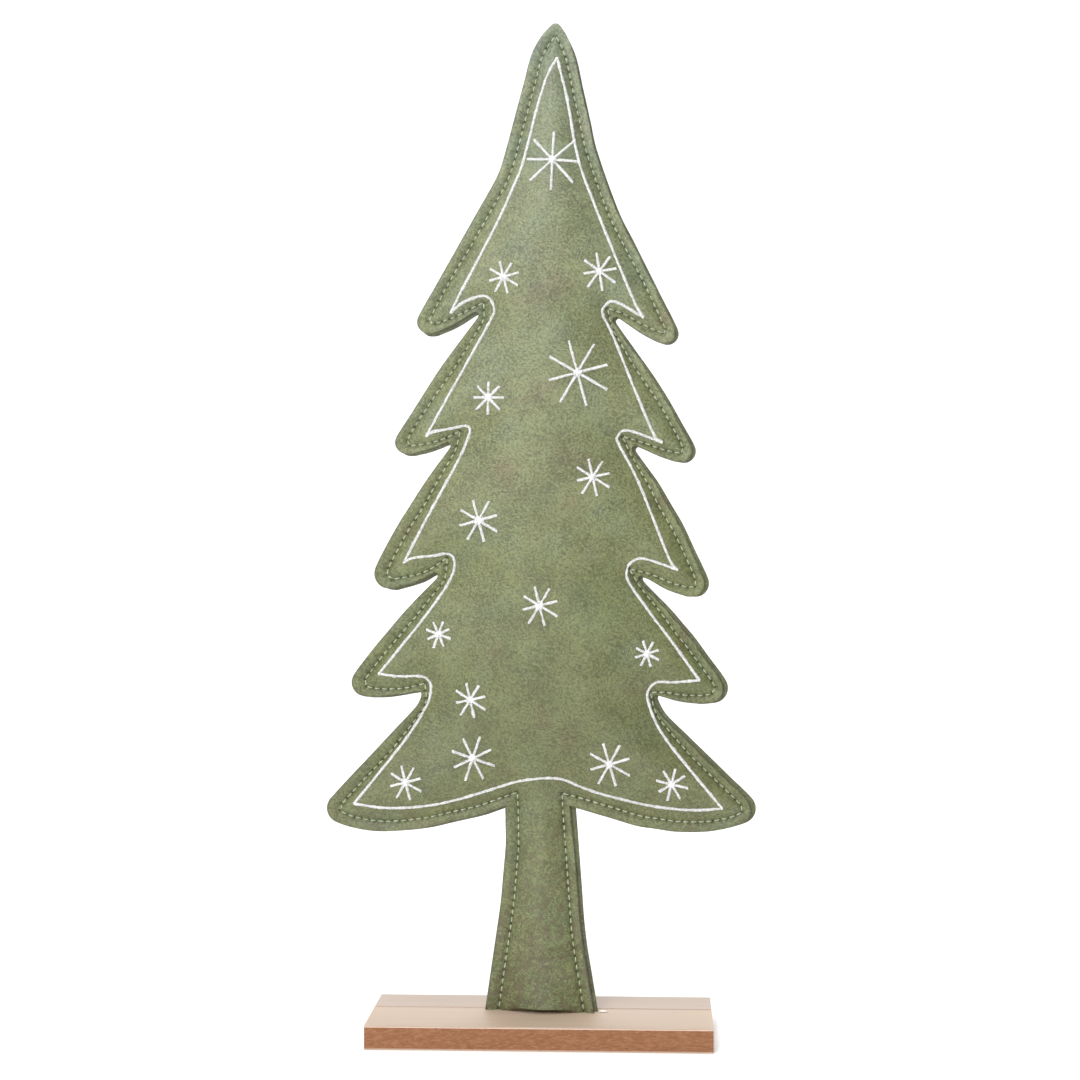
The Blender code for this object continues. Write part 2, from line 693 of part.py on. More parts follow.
def add_glue(stand):
    """A smear of glue on the foot, at the right of the trunk."""
    shape = bmesh.new()
    bmesh.ops.create_uvsphere(shape, u_segments=12, v_segments=6, radius=GLUE_LENGTH / 2)
    for corner in shape.verts:
        corner.co.y *= GLUE_WIDTH / GLUE_LENGTH
        corner.co.z = max(0.0, corner.co.z) * 2 * GLUE_HEIGHT / GLUE_LENGTH
    bmesh.ops.recalc_face_normals(shape, faces=shape.faces)
    mesh = bpy.data.meshes.new("glue_bead")
    shape.to_mesh(mesh)
    shape.free()
    x = back_slip(SEWN_EDGE[-1]).real + GLUE_LENGTH / 2 + FIT_GAP
    spot = (x, KERF_BACK - GLUE_AHEAD, FOOT_Z)
    add(mesh, stand, material("glue", (0.92, 0.92, 0.90), 0.3), spot, smooth=True)


def main():
    for old in list(bpy.data.objects):
        bpy.data.objects.remove(old)
    stand = bpy.data.objects.new("stand", None)
    tree = bpy.data.objects.new("tree", None)
    for empty in (stand, tree):
        bpy.context.scene.collection.objects.link(empty)
    tree.parent = stand
    tree.location = (0.0, KERF_BACK, FOOT_Z)
    add_foot(stand)
    add_core(tree)
    points, faces = sheet_net()
    add_wadding(tree, points, faces)
    depth = surface_reader(add_felt(tree, points, faces), -BASE_DEPTH)
    add_outline(tree, depth)
    thread = material("snowflake_thread", (0.90, 0.90, 0.88), 0.6)
    for number, row in enumerate(STAR_SHARES, 1):
        add_star(tree, depth, number, row, thread)
    add_glue(stand)


main()
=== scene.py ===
# %% [markdown]
# # A felt Christmas tree on a wooden foot
#
# The tree is two sheets of thick wool felt, sewn together a little inside their cut edge and filled with wadding.
# Its front is embroidered with one white outline and fifteen snowflakes, and it stands in a slot in a flat board.
# The solids come from CAD and fix every size and place. This script dresses them: it cuts the felt finer, sews
# it thread by thread, and gives wood, felt and thread their own procedural finish.

import cmath
import math

import bmesh
import bpy
import numpy as np
from mathutils import Matrix, Vector, noise
from mathutils.bvhtree import BVHTree
from mathutils.geometry import delaunay_2d_cdt


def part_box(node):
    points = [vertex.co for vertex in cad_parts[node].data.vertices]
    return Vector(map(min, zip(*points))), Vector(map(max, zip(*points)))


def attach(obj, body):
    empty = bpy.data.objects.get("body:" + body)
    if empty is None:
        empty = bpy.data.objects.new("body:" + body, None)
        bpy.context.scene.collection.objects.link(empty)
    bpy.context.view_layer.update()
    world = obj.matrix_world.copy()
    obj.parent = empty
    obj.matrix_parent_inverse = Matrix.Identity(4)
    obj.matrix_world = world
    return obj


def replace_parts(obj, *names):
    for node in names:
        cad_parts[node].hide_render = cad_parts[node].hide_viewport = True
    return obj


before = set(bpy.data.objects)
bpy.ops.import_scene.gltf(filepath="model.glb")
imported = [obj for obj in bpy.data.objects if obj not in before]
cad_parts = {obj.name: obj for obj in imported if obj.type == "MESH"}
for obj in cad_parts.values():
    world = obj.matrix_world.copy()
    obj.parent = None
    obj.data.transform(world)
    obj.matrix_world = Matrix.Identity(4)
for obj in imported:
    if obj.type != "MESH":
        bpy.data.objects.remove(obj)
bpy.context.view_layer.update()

# %% [markdown]
# ## Where the tree stands
#
# The tree's pattern is drawn flat, so its points are complex numbers: x to the right, and z counted from the
# tree's lower edge. Places listed here are written as shares of its half width and of its height. Two measures
# tie that drawing to the foot: the middle of the kerf that the tree stands in, and the height of its lower edge.
# Both are read from the solids rather than typed, so they can't disagree.

# %% Tie the flat pattern to the foot
HALF_PATTERN = 0.0936
PATTERN_HEIGHT = 0.4354
KERF_Y = (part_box("base_veneer_front")[1].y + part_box("base_veneer_back")[0].y) / 2
TREE_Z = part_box("felt_front")[0].z


def in_pattern(shares):
    """Places of the pattern from shares, x of its half width and z of its height."""
    shares = np.asarray(shares)
    return shares.real * HALF_PATTERN + 1j * shares.imag * PATTERN_HEIGHT


def metres(line):
    """How long a line of points is, for printing."""
    return f"{abs(np.diff(line)).sum():.3f} m"


def in_room(points, depths):
    """Flat pattern points with their y, as places in the room."""
    points = np.asarray(points)
    return np.stack([points.real, KERF_Y + np.asarray(depths), points.imag + TREE_Z], axis=-1)


print("kerf at y", round(KERF_Y, 5), "and the tree's lower edge at z", round(TREE_Z, 5))

# %% [markdown]
# ## The cut edge of the felt
#
# Felt doesn't fray, so its edge is simply cut and left bare: a smooth curve round every branch. The CAD sheet has
# that edge in straight steps. Its rim is found as the border between the front skin and the wall, and a curve
# through those corners gives the smooth edge back. Only the two square corners beside the trunk stay sharp.

# %% Read the CAD sheet's rim
WELD = 1e-6
WALL_TILT = 0.02
SKIN_TILT = -0.2


def rim_of(node):
    """The border of a sheet's front skin, clockwise as seen from the front, from the left end of the trunk."""
    shape = bmesh.new()
    shape.from_mesh(node.data)
    bmesh.ops.remove_doubles(shape, verts=shape.verts, dist=WELD)
    shape.normal_update()
    after = {}
    for edge in shape.edges:
        skin, wall = sorted(edge.link_faces, key=lambda face: face.normal.y)
        if skin.normal.y < SKIN_TILT and abs(wall.normal.y) < WALL_TILT:
            corner = next(loop for loop in skin.loops if loop.edge == edge)
            after[corner.link_loop_next.vert] = corner.vert
    line = [next(iter(after))]
    while after[line[-1]] != line[0]:
        line.append(after[line[-1]])
    flat = [complex(corner.co.x, corner.co.z - TREE_Z) for corner in line]
    shape.free()
    on_foot = [point for point in flat if point.imag < WELD]
    left, right = (pick(on_foot, key=lambda point: point.real) for pick in (min, max))
    start = flat.index(left)
    flat = flat[start:] + flat[:start]
    return flat[: flat.index(right) + 1]


cad_edge = rim_of(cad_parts["felt_front"])
print("the CAD edge has", len(cad_edge), "corners, from", cad_edge[0], "to", cad_edge[-1])

# %% [markdown]
# The curve is made of cubic pieces. At each corner it runs parallel to the line from the corner before to the one
# after, which is exact on arcs and on the straight stretches that lead into them.

# %% Draw the edge as a smooth curve
EDGE_STEP = 0.0011
SHARP_TURN = math.radians(50.0)
SLIP_AT_FOOT = 0.0030
SLIP_AT_TOP = 0.0006


def unit(step):
    return step / abs(step)


def slip(points):
    """How far right of the front sheet the back sheet lies."""
    return SLIP_AT_FOOT + (SLIP_AT_TOP - SLIP_AT_FOOT) * np.asarray(points).imag / PATTERN_HEIGHT


def turning(before, corner, after):
    return abs(cmath.phase((after - corner) / (corner - before)))


def bow(a, b, leaving, arriving, parts):
    """Points of a cubic curve from a, up to but without b, that leaves and arrives along the given steps."""
    t = np.arange(parts) / parts
    ends = a * (2 * t**3 - 3 * t**2 + 1) + b * (3 * t**2 - 2 * t**3)
    return list(ends + leaving * (t**3 - 2 * t**2 + t) + arriving * (t**3 - t**2))


def smooth_line(corners, step):
    """A smooth curve through corners in evenly short steps, sharp where the corners turn sharply."""
    last = len(corners) - 1
    sharp = [
        i in (0, last) or turning(corners[i - 1], corners[i], corners[i + 1]) > SHARP_TURN
        for i in range(last + 1)
    ]
    line = []
    for i in range(last):
        a, b = corners[i], corners[i + 1]
        length = abs(b - a)
        leaving = unit(b - a) if sharp[i] else unit(b - corners[i - 1])
        arriving = unit(b - a) if sharp[i + 1] else unit(corners[i + 2] - a)
        line += bow(a, b, leaving * length, arriving * length, max(1, math.ceil(length / step)))
    return np.array(line + [corners[-1]])


pattern_corners = [point + complex(slip(point)) / 2 for point in cad_edge]
EDGE = smooth_line(pattern_corners, EDGE_STEP)
print("the smooth edge has", len(EDGE), "points and is", metres(EDGE), "long")

# %% [markdown]
# ## The sewing line
#
# The seam runs 4.5 mm inside the edge, guided by the foot of the sewing machine, and creeps nearer to the edge
# at the notches. A line moved inwards by a fixed distance crosses itself where the edge turns tightly. So every
# moved point that has come too near the edge is dropped, and the two sides run on until they meet in a corner.

# %% Move the edge inwards
SEAM_MARGIN = 0.0045
NOTCH_EASE = 0.0028
NOTCH_FADE = 0.030
PORTION = 400
MITRE_SHARE = 0.60
CLEAR_SHARE = 0.985
NOTCHES = in_pattern([
    -0.234+0.7175j, -0.384+0.5804j, -0.405+0.4543j, -0.544+0.3243j, 0.311+0.7132j, 0.419+0.5772j, 0.462+0.4426j,
    0.534+0.3220j,
])


def by_portions(work, points):
    """What work gives for a few hundred points at a time, so that its tables against a whole line stay small."""
    points = np.asarray(points)
    return np.concatenate([work(few[:, None]) for few in np.array_split(points, len(points) // PORTION + 1)])


def clearances(points, line):
    """The distance from each point to a line of many short stretches."""
    start, along = line[:-1], np.diff(line)

    def nearest(few):
        share = ((few - start) * along.conj()).real / abs(along) ** 2
        return abs(few - start - along * np.clip(share, 0, 1)).min(axis=1)

    return by_portions(nearest, points)


def crossing(a, b, c, d):
    first, second = b - a, d - c
    across = (first.conjugate() * second).imag
    return a + first * (((c - a).conjugate() * second).imag / across)


def moved_in(line, margins):
    """The line that runs inside another by the given margins, with sharp corners where it would cross itself."""
    steps = np.diff(line) / abs(np.diff(line))
    ahead = np.append(steps, steps[-1])
    behind = np.insert(steps, 0, steps[0])
    halfway = (ahead + behind) / abs(ahead + behind)
    mitre = np.maximum((ahead.conj() * halfway).real, MITRE_SHARE)
    moved = line - 1j * halfway * margins / mitre
    moved[0] = complex(moved[0].real, line[0].imag)
    moved[-1] = complex(moved[-1].real, line[-1].imag)
    kept = np.flatnonzero(clearances(moved, line) >= CLEAR_SHARE * margins)
    out = []
    for n, i in enumerate(kept):
        out.append(moved[i])
        if n and n + 2 < len(kept) and kept[n + 1] > i + 1:
            j = kept[n + 1]
            corner = crossing(moved[kept[n - 1]], moved[i], moved[j], moved[kept[n + 2]])
            if abs(corner - moved[i]) < 4 * margins[i]:
                out.append(corner)
    return np.array(out)


def seam_margins(points):
    nearest = abs(points[:, None] - NOTCHES).min(axis=1)
    return SEAM_MARGIN - NOTCH_EASE * np.maximum(0, 1 - nearest / NOTCH_FADE)


round_seam = moved_in(EDGE, seam_margins(EDGE))
print("the moved line is", metres(round_seam), "long")

# %% [markdown]
# The sewer doesn't follow the notches round. A few millimetres past the end of each one they stop with the needle
# down, turn the felt and sew on, which leaves a sharp corner close to the embroidered line. The eight corners are
# given, and a straight run leads to each one and away from it.

# %% Give the seam its corners
CORNER_REACH = 0.0075
CORNERS = in_pattern([
    -0.260+0.7191j, -0.373+0.5888j, -0.436+0.4602j, -0.544+0.3319j, 0.325+0.7124j, 0.393+0.5825j, 0.425+0.4483j,
    0.523+0.3232j,
])


def evenly(line, step):
    """The same line with its points spread evenly."""
    line = np.asarray(line)
    run = np.insert(np.cumsum(abs(np.diff(line))), 0, 0)
    spots = np.linspace(0, run[-1], max(1, round(run[-1] / step)) + 1)
    return np.interp(spots, run, line.real) + 1j * np.interp(spots, run, line.imag)


def with_corner(line, corner):
    """The line with two straight runs, to the corner and away, in place of its stretch near the corner."""
    away = abs(line - corner)
    nearest = int(np.argmin(away))
    far = away > CORNER_REACH
    first, last = nearest - int(np.argmax(far[nearest::-1])), nearest + int(np.argmax(far[nearest:]))
    to_corner = evenly([line[first], corner], EDGE_STEP)
    on = evenly([corner, line[last]], EDGE_STEP)
    return np.concatenate([line[:first], to_corner, on[1:], line[last + 1 :]])


SEAM = round_seam
for corner in CORNERS:
    SEAM = with_corner(SEAM, corner)
print("the seam has", len(SEAM), "points and is", metres(SEAM), "long")

# %% [markdown]
# ## Where the needle goes in
#
# A lockstitch is a row of equal stitches. The thread lies on the felt between two needle holes and dives into
# each, and the sewer turns the felt with the needle down, so every corner has a hole. The seam is therefore cut
# at its corners, and each stretch is divided into stitches of nearly 3.4 mm.

# %% Divide the seam into stitches
STITCH = 0.0034


def needle_holes():
    turns = [i for i in range(1, len(SEAM) - 1) if turning(*SEAM[i - 1 : i + 2]) > SHARP_TURN]
    runs = zip([0, *turns], [*turns, len(SEAM) - 1])
    stretches = [evenly(SEAM[start : end + 1], STITCH) for start, end in runs]
    return np.concatenate([stretches[0]] + [stretch[1:] for stretch in stretches[1:]])


HOLES = needle_holes()
print("the seam has", len(HOLES) - 1, f"stitches of {abs(np.diff(HOLES)).mean() * 1000:.2f} mm")

# %% [markdown]
# ## How the filling lifts the felt
#
# The seam holds the two sheets together, and the wadding pushes them apart everywhere else. A cloth simulation
# could find that shape, but the CAD solids, the embroidery and the filling must all agree on it. So it is one
# formula: each short stretch of seam holds the felt down, a near one by far the most, and their sum gives a
# smooth height with no crease, low in the branch tips and highest in the broad middle.

# %% Work out the height of the felt
FELT = 0.0024
SHEET_GAP = 0.0003
EDGE_FLARE = 0.0006
PUFF = 0.014
PUFF_REACH = 0.033
TRUNK_AHEAD = 0.0032
TRUNK_TURN = math.radians(6.0)
CROTCH_Z = 0.2067 * PATTERN_HEIGHT


def inside(points, loop):
    """Which of the points lie inside a closed loop."""
    found = np.zeros(len(points), bool)
    for a, b in zip(loop, np.roll(loop, -1)):
        if a.imag != b.imag:
            spans = (a.imag > points.imag) != (b.imag > points.imag)
            lean = (b.real - a.real) / (b.imag - a.imag)
            found ^= spans & (points.real < a.real + (points.imag - a.imag) * lean)
    return found


def is_padded(points):
    """Which points lie inside the seam. Those on the lower edge count as a hair above it."""
    return inside(points.real + 1j * np.maximum(points.imag, WELD), SEAM)


def half_room(points):
    """How far each sheet's inner face lies from the plane between the sheets."""
    middle, length = (SEAM[:-1] + SEAM[1:]) / 2, abs(np.diff(SEAM))

    def lifted(few):
        away = np.maximum(abs(few - middle), EDGE_STEP / 2)
        nearness = (length / away**4).sum(axis=1) / (math.pi / 2)
        rise = PUFF * (1 - np.exp(-(nearness ** (-1 / 3)) / PUFF_REACH))
        flare = EDGE_FLARE * np.minimum(away.min(axis=1) / SEAM_MARGIN, 1)
        return SHEET_GAP / 2 + np.where(is_padded(few.ravel()), rise, flare)

    return by_portions(lifted, points)


def seam_plane(points):
    """The y of the plane between the sheets: the trunk's lower end stands ahead of the kerf, a little turned."""
    share = np.clip(1 - points.imag / CROTCH_Z, 0, 1)
    return -(TRUNK_AHEAD + points.real * math.tan(TRUNK_TURN)) * share**2


BROAD_MIDDLE = in_pattern(0.35j)
print(f"the felt rises to {half_room([BROAD_MIDDLE])[0] * 1000:.1f} mm from the middle")

# %% [markdown]
# ## One net for both sheets
#
# Felt bends sharply only beside the stitches and at its cut edge, so that is where a fine mesh pays. The net has
# rows of points beside the edge and the seam at a few distances, and an even triangular grid elsewhere.
# A Delaunay triangulation joins them. A voxel remesh would be as fine, but it would wipe the seam's groove out.

# %% Lay out the net's points
LINE_STEP = 0.0011
STITCH_PARTS = 6
GRID_STEP = 0.0022
CROWD_SHARE = 0.55
EDGE_LINES = (0.00025, 0.0007)
GROOVE_LINE = 0.0006
SEAM_LINES = (0.0013, 0.0022)


def clear_of(points, others):
    """Which points keep more than half the grid's step from all the others."""
    return by_portions(lambda few: abs(few - others).min(axis=1), points) > GRID_STEP * CROWD_SHARE


def beside(line, distance, step):
    """A row of points along the left side of a line."""
    return evenly(moved_in(line, np.full(len(line), distance)), step)


def net_points():
    fine = STITCH / STITCH_PARTS
    rows = [(HOLES[:-1, None] + np.diff(HOLES)[:, None] * np.arange(STITCH_PARTS) / STITCH_PARTS).ravel()]
    rows += [beside(EDGE, distance, LINE_STEP) for distance in EDGE_LINES]
    for seam in (SEAM, SEAM[::-1]):
        rows += [beside(seam, GROOVE_LINE, fine), *(beside(seam, away, LINE_STEP) for away in SEAM_LINES)]
    high = np.arange(0, PATTERN_HEIGHT, GRID_STEP * math.sqrt(3) / 2)
    wide = np.arange(-HALF_PATTERN - GRID_STEP, HALF_PATTERN + GRID_STEP, GRID_STEP)
    grid = np.concatenate([wide + GRID_STEP / 2 * (row % 2) + 1j * z for row, z in enumerate(high)])
    grid = grid[inside(grid, EDGE)]
    return rows, grid[clear_of(grid, np.concatenate([EDGE, *rows]))]


seam_rows, grid_points = net_points()
print("lines:", [len(row) for row in seam_rows], "grid:", len(grid_points))

# %% Join the points into triangles
foot_line = np.linspace(EDGE[-1], EDGE[0], round(abs(EDGE[-1] - EDGE[0]) / LINE_STEP))[1:-1]
loop_points = np.concatenate([EDGE, foot_line])
all_points = np.concatenate([loop_points, *seam_rows, grid_points])
on_foot = (all_points.imag < WELD) & (np.arange(len(all_points)) >= len(loop_points))
all_points = all_points[~on_foot]
border = [(i, (i + 1) % len(loop_points)) for i in range(len(loop_points))]
flat_places = [Vector((point.real, point.imag)) for point in all_points]
made = delaunay_2d_cdt(flat_places, border, [list(range(len(loop_points)))], 1, WELD)
NET = np.array([complex(*corner) for corner in made[0]])
FACES = [list(face) for face in made[2]]
print("the net has", len(NET), "points and", len(FACES), "triangles")

# %% [markdown]
# ## The two felt sheets
#
# Each sheet is a closed skin 2.4 mm thick over the net. On top of the filled shape come the marks of making: the
# thread presses a groove into the felt, each needle hole is a small pit, and the cut edge is slightly rounded.
# The wadding isn't even, so slow noise lifts the felt a little here and there. The back sheet was laid on a
# little to the right and lower than the front one, which is why it shows as a rim on that side. Its cut edge is
# darkened with painted shade.

# %% Shape the felt
GROOVE_DEPTH = 0.0006
GROOVE_REACH = 0.0011
PIT_DEPTH = 0.0006
PIT_HALF = 0.0005
PIT_REACH = 0.0006
EDGE_ROUND = 0.0006
LUMP_HEIGHT = 0.00045
LUMP_LENGTH = 0.028
BACK_DROP = 0.0020
FOOT_SINK = 0.00029
FOOT_REACH = 0.004
TRUNK_SPARE = 0.0014
TRUNK_HALF = 0.016


def from_holes(points):
    """The distance to the nearest needle hole. The thread pulls each hole into a short slit along the seam."""
    along = np.gradient(HOLES)
    along /= abs(along)

    def nearest(few):
        turned = (few - HOLES) / along
        return np.hypot(np.maximum(abs(turned.real) - PIT_HALF, 0), turned.imag).min(axis=1)

    return by_portions(nearest, points)


to_edge = clearances(NET, EDGE)
to_seam = clearances(NET, SEAM)
to_hole = from_holes(NET)
is_filled = is_padded(NET)
room = half_room(NET)
plane = seam_plane(NET)
groove = GROOVE_DEPTH * np.exp(-((clearances(NET, HOLES) / GROOVE_REACH) ** 2))
pressed = groove + PIT_DEPTH * np.exp(-((to_hole / PIT_REACH) ** 2))
rounded = EDGE_ROUND - np.sqrt(EDGE_ROUND**2 - np.maximum(EDGE_ROUND - to_edge, 0) ** 2)


def lumps(seed):
    """Slow unevenness of the filling, none at the seam."""
    rough = [noise.noise(Vector((p.real, seed, p.imag)) / LUMP_LENGTH) for p in NET]
    return LUMP_HEIGHT * np.array(rough) * np.where(is_filled, np.minimum(to_seam / LUMP_LENGTH * 2, 1), 0)


settled = -1j * FOOT_SINK * np.exp(-((NET.imag / FOOT_REACH) ** 2))
slipped = np.where(is_filled, 0, to_seam / (to_seam + to_edge + WELD))
trunk_share = np.sqrt(np.clip(1 - NET.imag / CROTCH_Z, 0, 1)) * np.clip(NET.real / TRUNK_HALF, 0, 1)
drop = BACK_DROP * NET.imag / PATTERN_HEIGHT * (1 - NET.real / HALF_PATTERN) / 2
FRONT_PLACES = NET + settled + (TRUNK_SPARE * trunk_share - slip(NET) / 2) * slipped
BACK_PLACES = NET + settled + (slip(NET) / 2 - 1j * drop) * slipped
FRONT_INNER = plane - room - lumps(0.0)
FRONT_OUTER = FRONT_INNER - FELT + pressed + rounded
BACK_INNER = plane + room + lumps(1.0)
BACK_OUTER = BACK_INNER + FELT - pressed - rounded
print(f"the front's skin lies between y {FRONT_OUTER.min():.4f} and {FRONT_OUTER.max():.4f}")

# %% Close a net into a solid
def closed(faces, count):
    """Faces of a solid over a flat net: the front skin, the back skin, and walls along the net's border."""
    rim = {}
    for face in faces:
        for i, j in zip(face, face[1:] + face[:1]):
            if not rim.pop((j, i), False):
                rim[i, j] = True
    back = [[count + i for i in reversed(face)] for face in faces]
    walls = [[j, i, count + i, count + j] for i, j in rim]
    return faces + back + walls


def put(name, data):
    """A new object in the scene."""
    thing = bpy.data.objects.new(name, data)
    bpy.context.scene.collection.objects.link(thing)
    return thing


def new_mesh(name, corners, faces):
    mesh = bpy.data.meshes.new(name)
    mesh.from_pydata(np.asarray(corners).reshape(-1, 3).tolist(), [], faces)
    mesh.shade_smooth()
    return mesh


def new_piece(name, corners, faces, slot):
    """A shown object with a smooth mesh. It moves with the tree; its slot argument is not used."""
    piece = put(name, new_mesh(name, corners, faces))
    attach(piece, "root")
    return piece


def felt_sheet(name, places, front, back):
    corners = np.concatenate([in_room(places, front), in_room(places, back)])
    sheet = new_piece(name, corners, closed(FACES, len(NET)), "felt")
    # Both measures stored here are painted shade: one darkens the needle holes, the other the cut edge.
    painted_shades = {"pit_painted_shade": np.exp(-((to_hole / PIT_REACH) ** 2)), "cut_edge_painted_shade": to_edge < WELD}
    for shade, share in painted_shades.items():
        values = sheet.data.attributes.new(shade, "FLOAT", "POINT").data
        values.foreach_set("value", np.concatenate([share, share]).astype(np.float32))
    sheet.data.set_sharp_from_angle(angle=SHARP_TURN)
    return sheet


front_sheet = felt_sheet("felt_sheet_front", FRONT_PLACES, FRONT_OUTER, FRONT_INNER)
back_sheet = felt_sheet("felt_sheet_back", BACK_PLACES, BACK_INNER, BACK_OUTER)
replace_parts(front_sheet, "felt_front")
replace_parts(back_sheet, "felt_back")
print("each sheet has", len(front_sheet.data.polygons), "faces")

# %% [markdown]
# ## The wadding
#
# Two pads of polyester wadding fill the space between the stiffening board and the sheets. They can't be seen,
# but they are what the felt rests on, so they follow its inner face with a small gap. Their skin is pushed about
# by noise, as loose fibre is.

# %% Make the two pads
PAD_INSET = 0.0058
PAD_FOOT = 0.078
PAD_THIN = 0.0004
FIT_GAP = 0.0003
CORE_THICKNESS = 0.0015
TUFT_HEIGHT = 0.0005
TUFT_LENGTH = 0.006


def wadding_pad(name, side, seed):
    board = CORE_THICKNESS / 2 + FIT_GAP
    middles = NET[np.array(FACES)].mean(axis=1)
    is_deep = room - abs(plane) > board + PAD_THIN + FIT_GAP + TUFT_HEIGHT
    deep = is_deep & (to_seam > PAD_INSET) & is_filled
    held = [face for face, m in zip(FACES, middles) if m.imag > PAD_FOOT and all(deep[i] for i in face)]
    used = sorted({i for face in held for i in face})
    order = {i: n for n, i in enumerate(used)}
    faces = [[order[i] for i in face] for face in held]
    tufts = np.array([noise.noise(Vector((NET[i].real, seed, NET[i].imag)) / TUFT_LENGTH) for i in used])
    inner = np.full(len(used), side * board)
    outer = plane[used] + side * (room[used] - FIT_GAP - TUFT_HEIGHT * (tufts + 1) / 2)
    front, back = (outer, inner) if side < 0 else (inner, outer)
    corners = np.concatenate([in_room(NET[used], front), in_room(NET[used], back)])
    return new_piece(name, corners, closed(faces, len(used)), "wadding")


front_pad = wadding_pad("wadding_pad_front", -1, 2.0)
back_pad = wadding_pad("wadding_pad_back", 1, 3.0)
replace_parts(front_pad, "wadding_front")
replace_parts(back_pad, "wadding_back")
print("pads of", len(front_pad.data.polygons), "and", len(back_pad.data.polygons), "faces")

# %% [markdown]
# ## Thread
#
# All that is sewn on the tree is thread that goes down into the felt at both ends. One function makes every
# stitch: a short round tube along a few points, closed at its ends. A curve object with a bevel could do it too,
# but one mesh with thousands of tubes is much quicker to make, and needs no joining afterwards.

# %% Spin thread from points
def tubes(paths, radius, sides):
    """Corners and faces of many closed tubes. paths is (tubes, rings, 3)."""
    ahead = np.gradient(paths, axis=1)
    ahead /= np.linalg.norm(ahead, axis=2, keepdims=True)
    across = np.cross(ahead, [0.0, -1.0, 0.0])
    across /= np.linalg.norm(across, axis=2, keepdims=True)
    raised = np.cross(across, ahead)
    turn = np.arange(sides) * 2 * math.pi / sides
    ring = across[:, :, None] * np.cos(turn)[:, None] + raised[:, :, None] * np.sin(turn)[:, None]
    corners = paths[:, :, None] + ring * radius
    count, rings = paths.shape[:2]
    faces = []
    for tube in range(count):
        first = tube * rings * sides
        for start in range(first, first + (rings - 1) * sides, sides):
            for k in range(sides):
                n = (k + 1) % sides
                faces.append([start + k, start + n, start + sides + n, start + sides + k])
        faces.append([first + k for k in reversed(range(sides))])
        faces.append([first + (rings - 1) * sides + k for k in range(sides)])
    return corners, faces


def skin_reader(sheet, start, toward):
    """A function that gives the y of a sheet's first face met from a start, at points of the pattern."""
    mesh = sheet.data
    skin = BVHTree.FromPolygons([v.co for v in mesh.vertices], [list(p.vertices) for p in mesh.polygons])

    def depth(points):
        starts = [Vector((p.real, start, p.imag + TREE_Z)) for p in points]
        hits = [skin.ray_cast(place, Vector((0.0, toward, 0.0)))[0] for place in starts]
        return np.array([hit.y - KERF_Y for hit in hits])

    return depth


FAR = 0.1
front_depth = skin_reader(front_sheet, -FAR, 1.0)
back_depth = skin_reader(back_sheet, FAR, -1.0)
print(f"the front felt lies {-front_depth([BROAD_MIDDLE])[0]:.4f} m ahead of the kerf in its middle")

# %% [markdown]
# ## The lockstitch seam
#
# Pale green sewing thread, under half a millimetre thick, shows as a short dash in each stitch. At both ends it
# sinks out of sight into the needle holes, which are pits with painted shade in them. The same seam shows on the
# back, from the bobbin.

# %% Sew the sheets together
SEAM_THREAD = 0.00022
SEAM_SIDES = 7
DASH_RISE = np.array([-0.0012, -0.0004, 0.00004, 0.00014, 0.00004, -0.0004, -0.0012])
DASH_SPOTS = np.array([0.12, 0.21, 0.34, 0.50, 0.66, 0.79, 0.88])


def seam_stitches(name, depth, outward):
    spots = HOLES[:-1, None] + np.diff(HOLES)[:, None] * DASH_SPOTS
    surface = depth(spots[:, len(DASH_SPOTS) // 2])[:, None]
    paths = in_room(spots, surface + outward * DASH_RISE)
    return new_piece(name, *tubes(paths, SEAM_THREAD, SEAM_SIDES), "outline_thread")


seam_front = seam_stitches("seam_thread_front", front_depth, -1)
seam_back = seam_stitches("seam_thread_back", back_depth, 1)
print("stitches on each side:", len(HOLES) - 1)

# %% [markdown]
# ## The embroidered outline
#
# The embroidery machine made this line before the tree was sewn: a narrow satin stitch, thread laid from side to
# side so closely that it reads as one raised white cord. Its path is drawn with a few places for each stretch
# from tip to tip, and a smooth curve through them. Each crossing of the thread is a small arch that dips into the
# felt at both ends. A plain tube would be quicker, but it would lack the fine teeth along both sides.

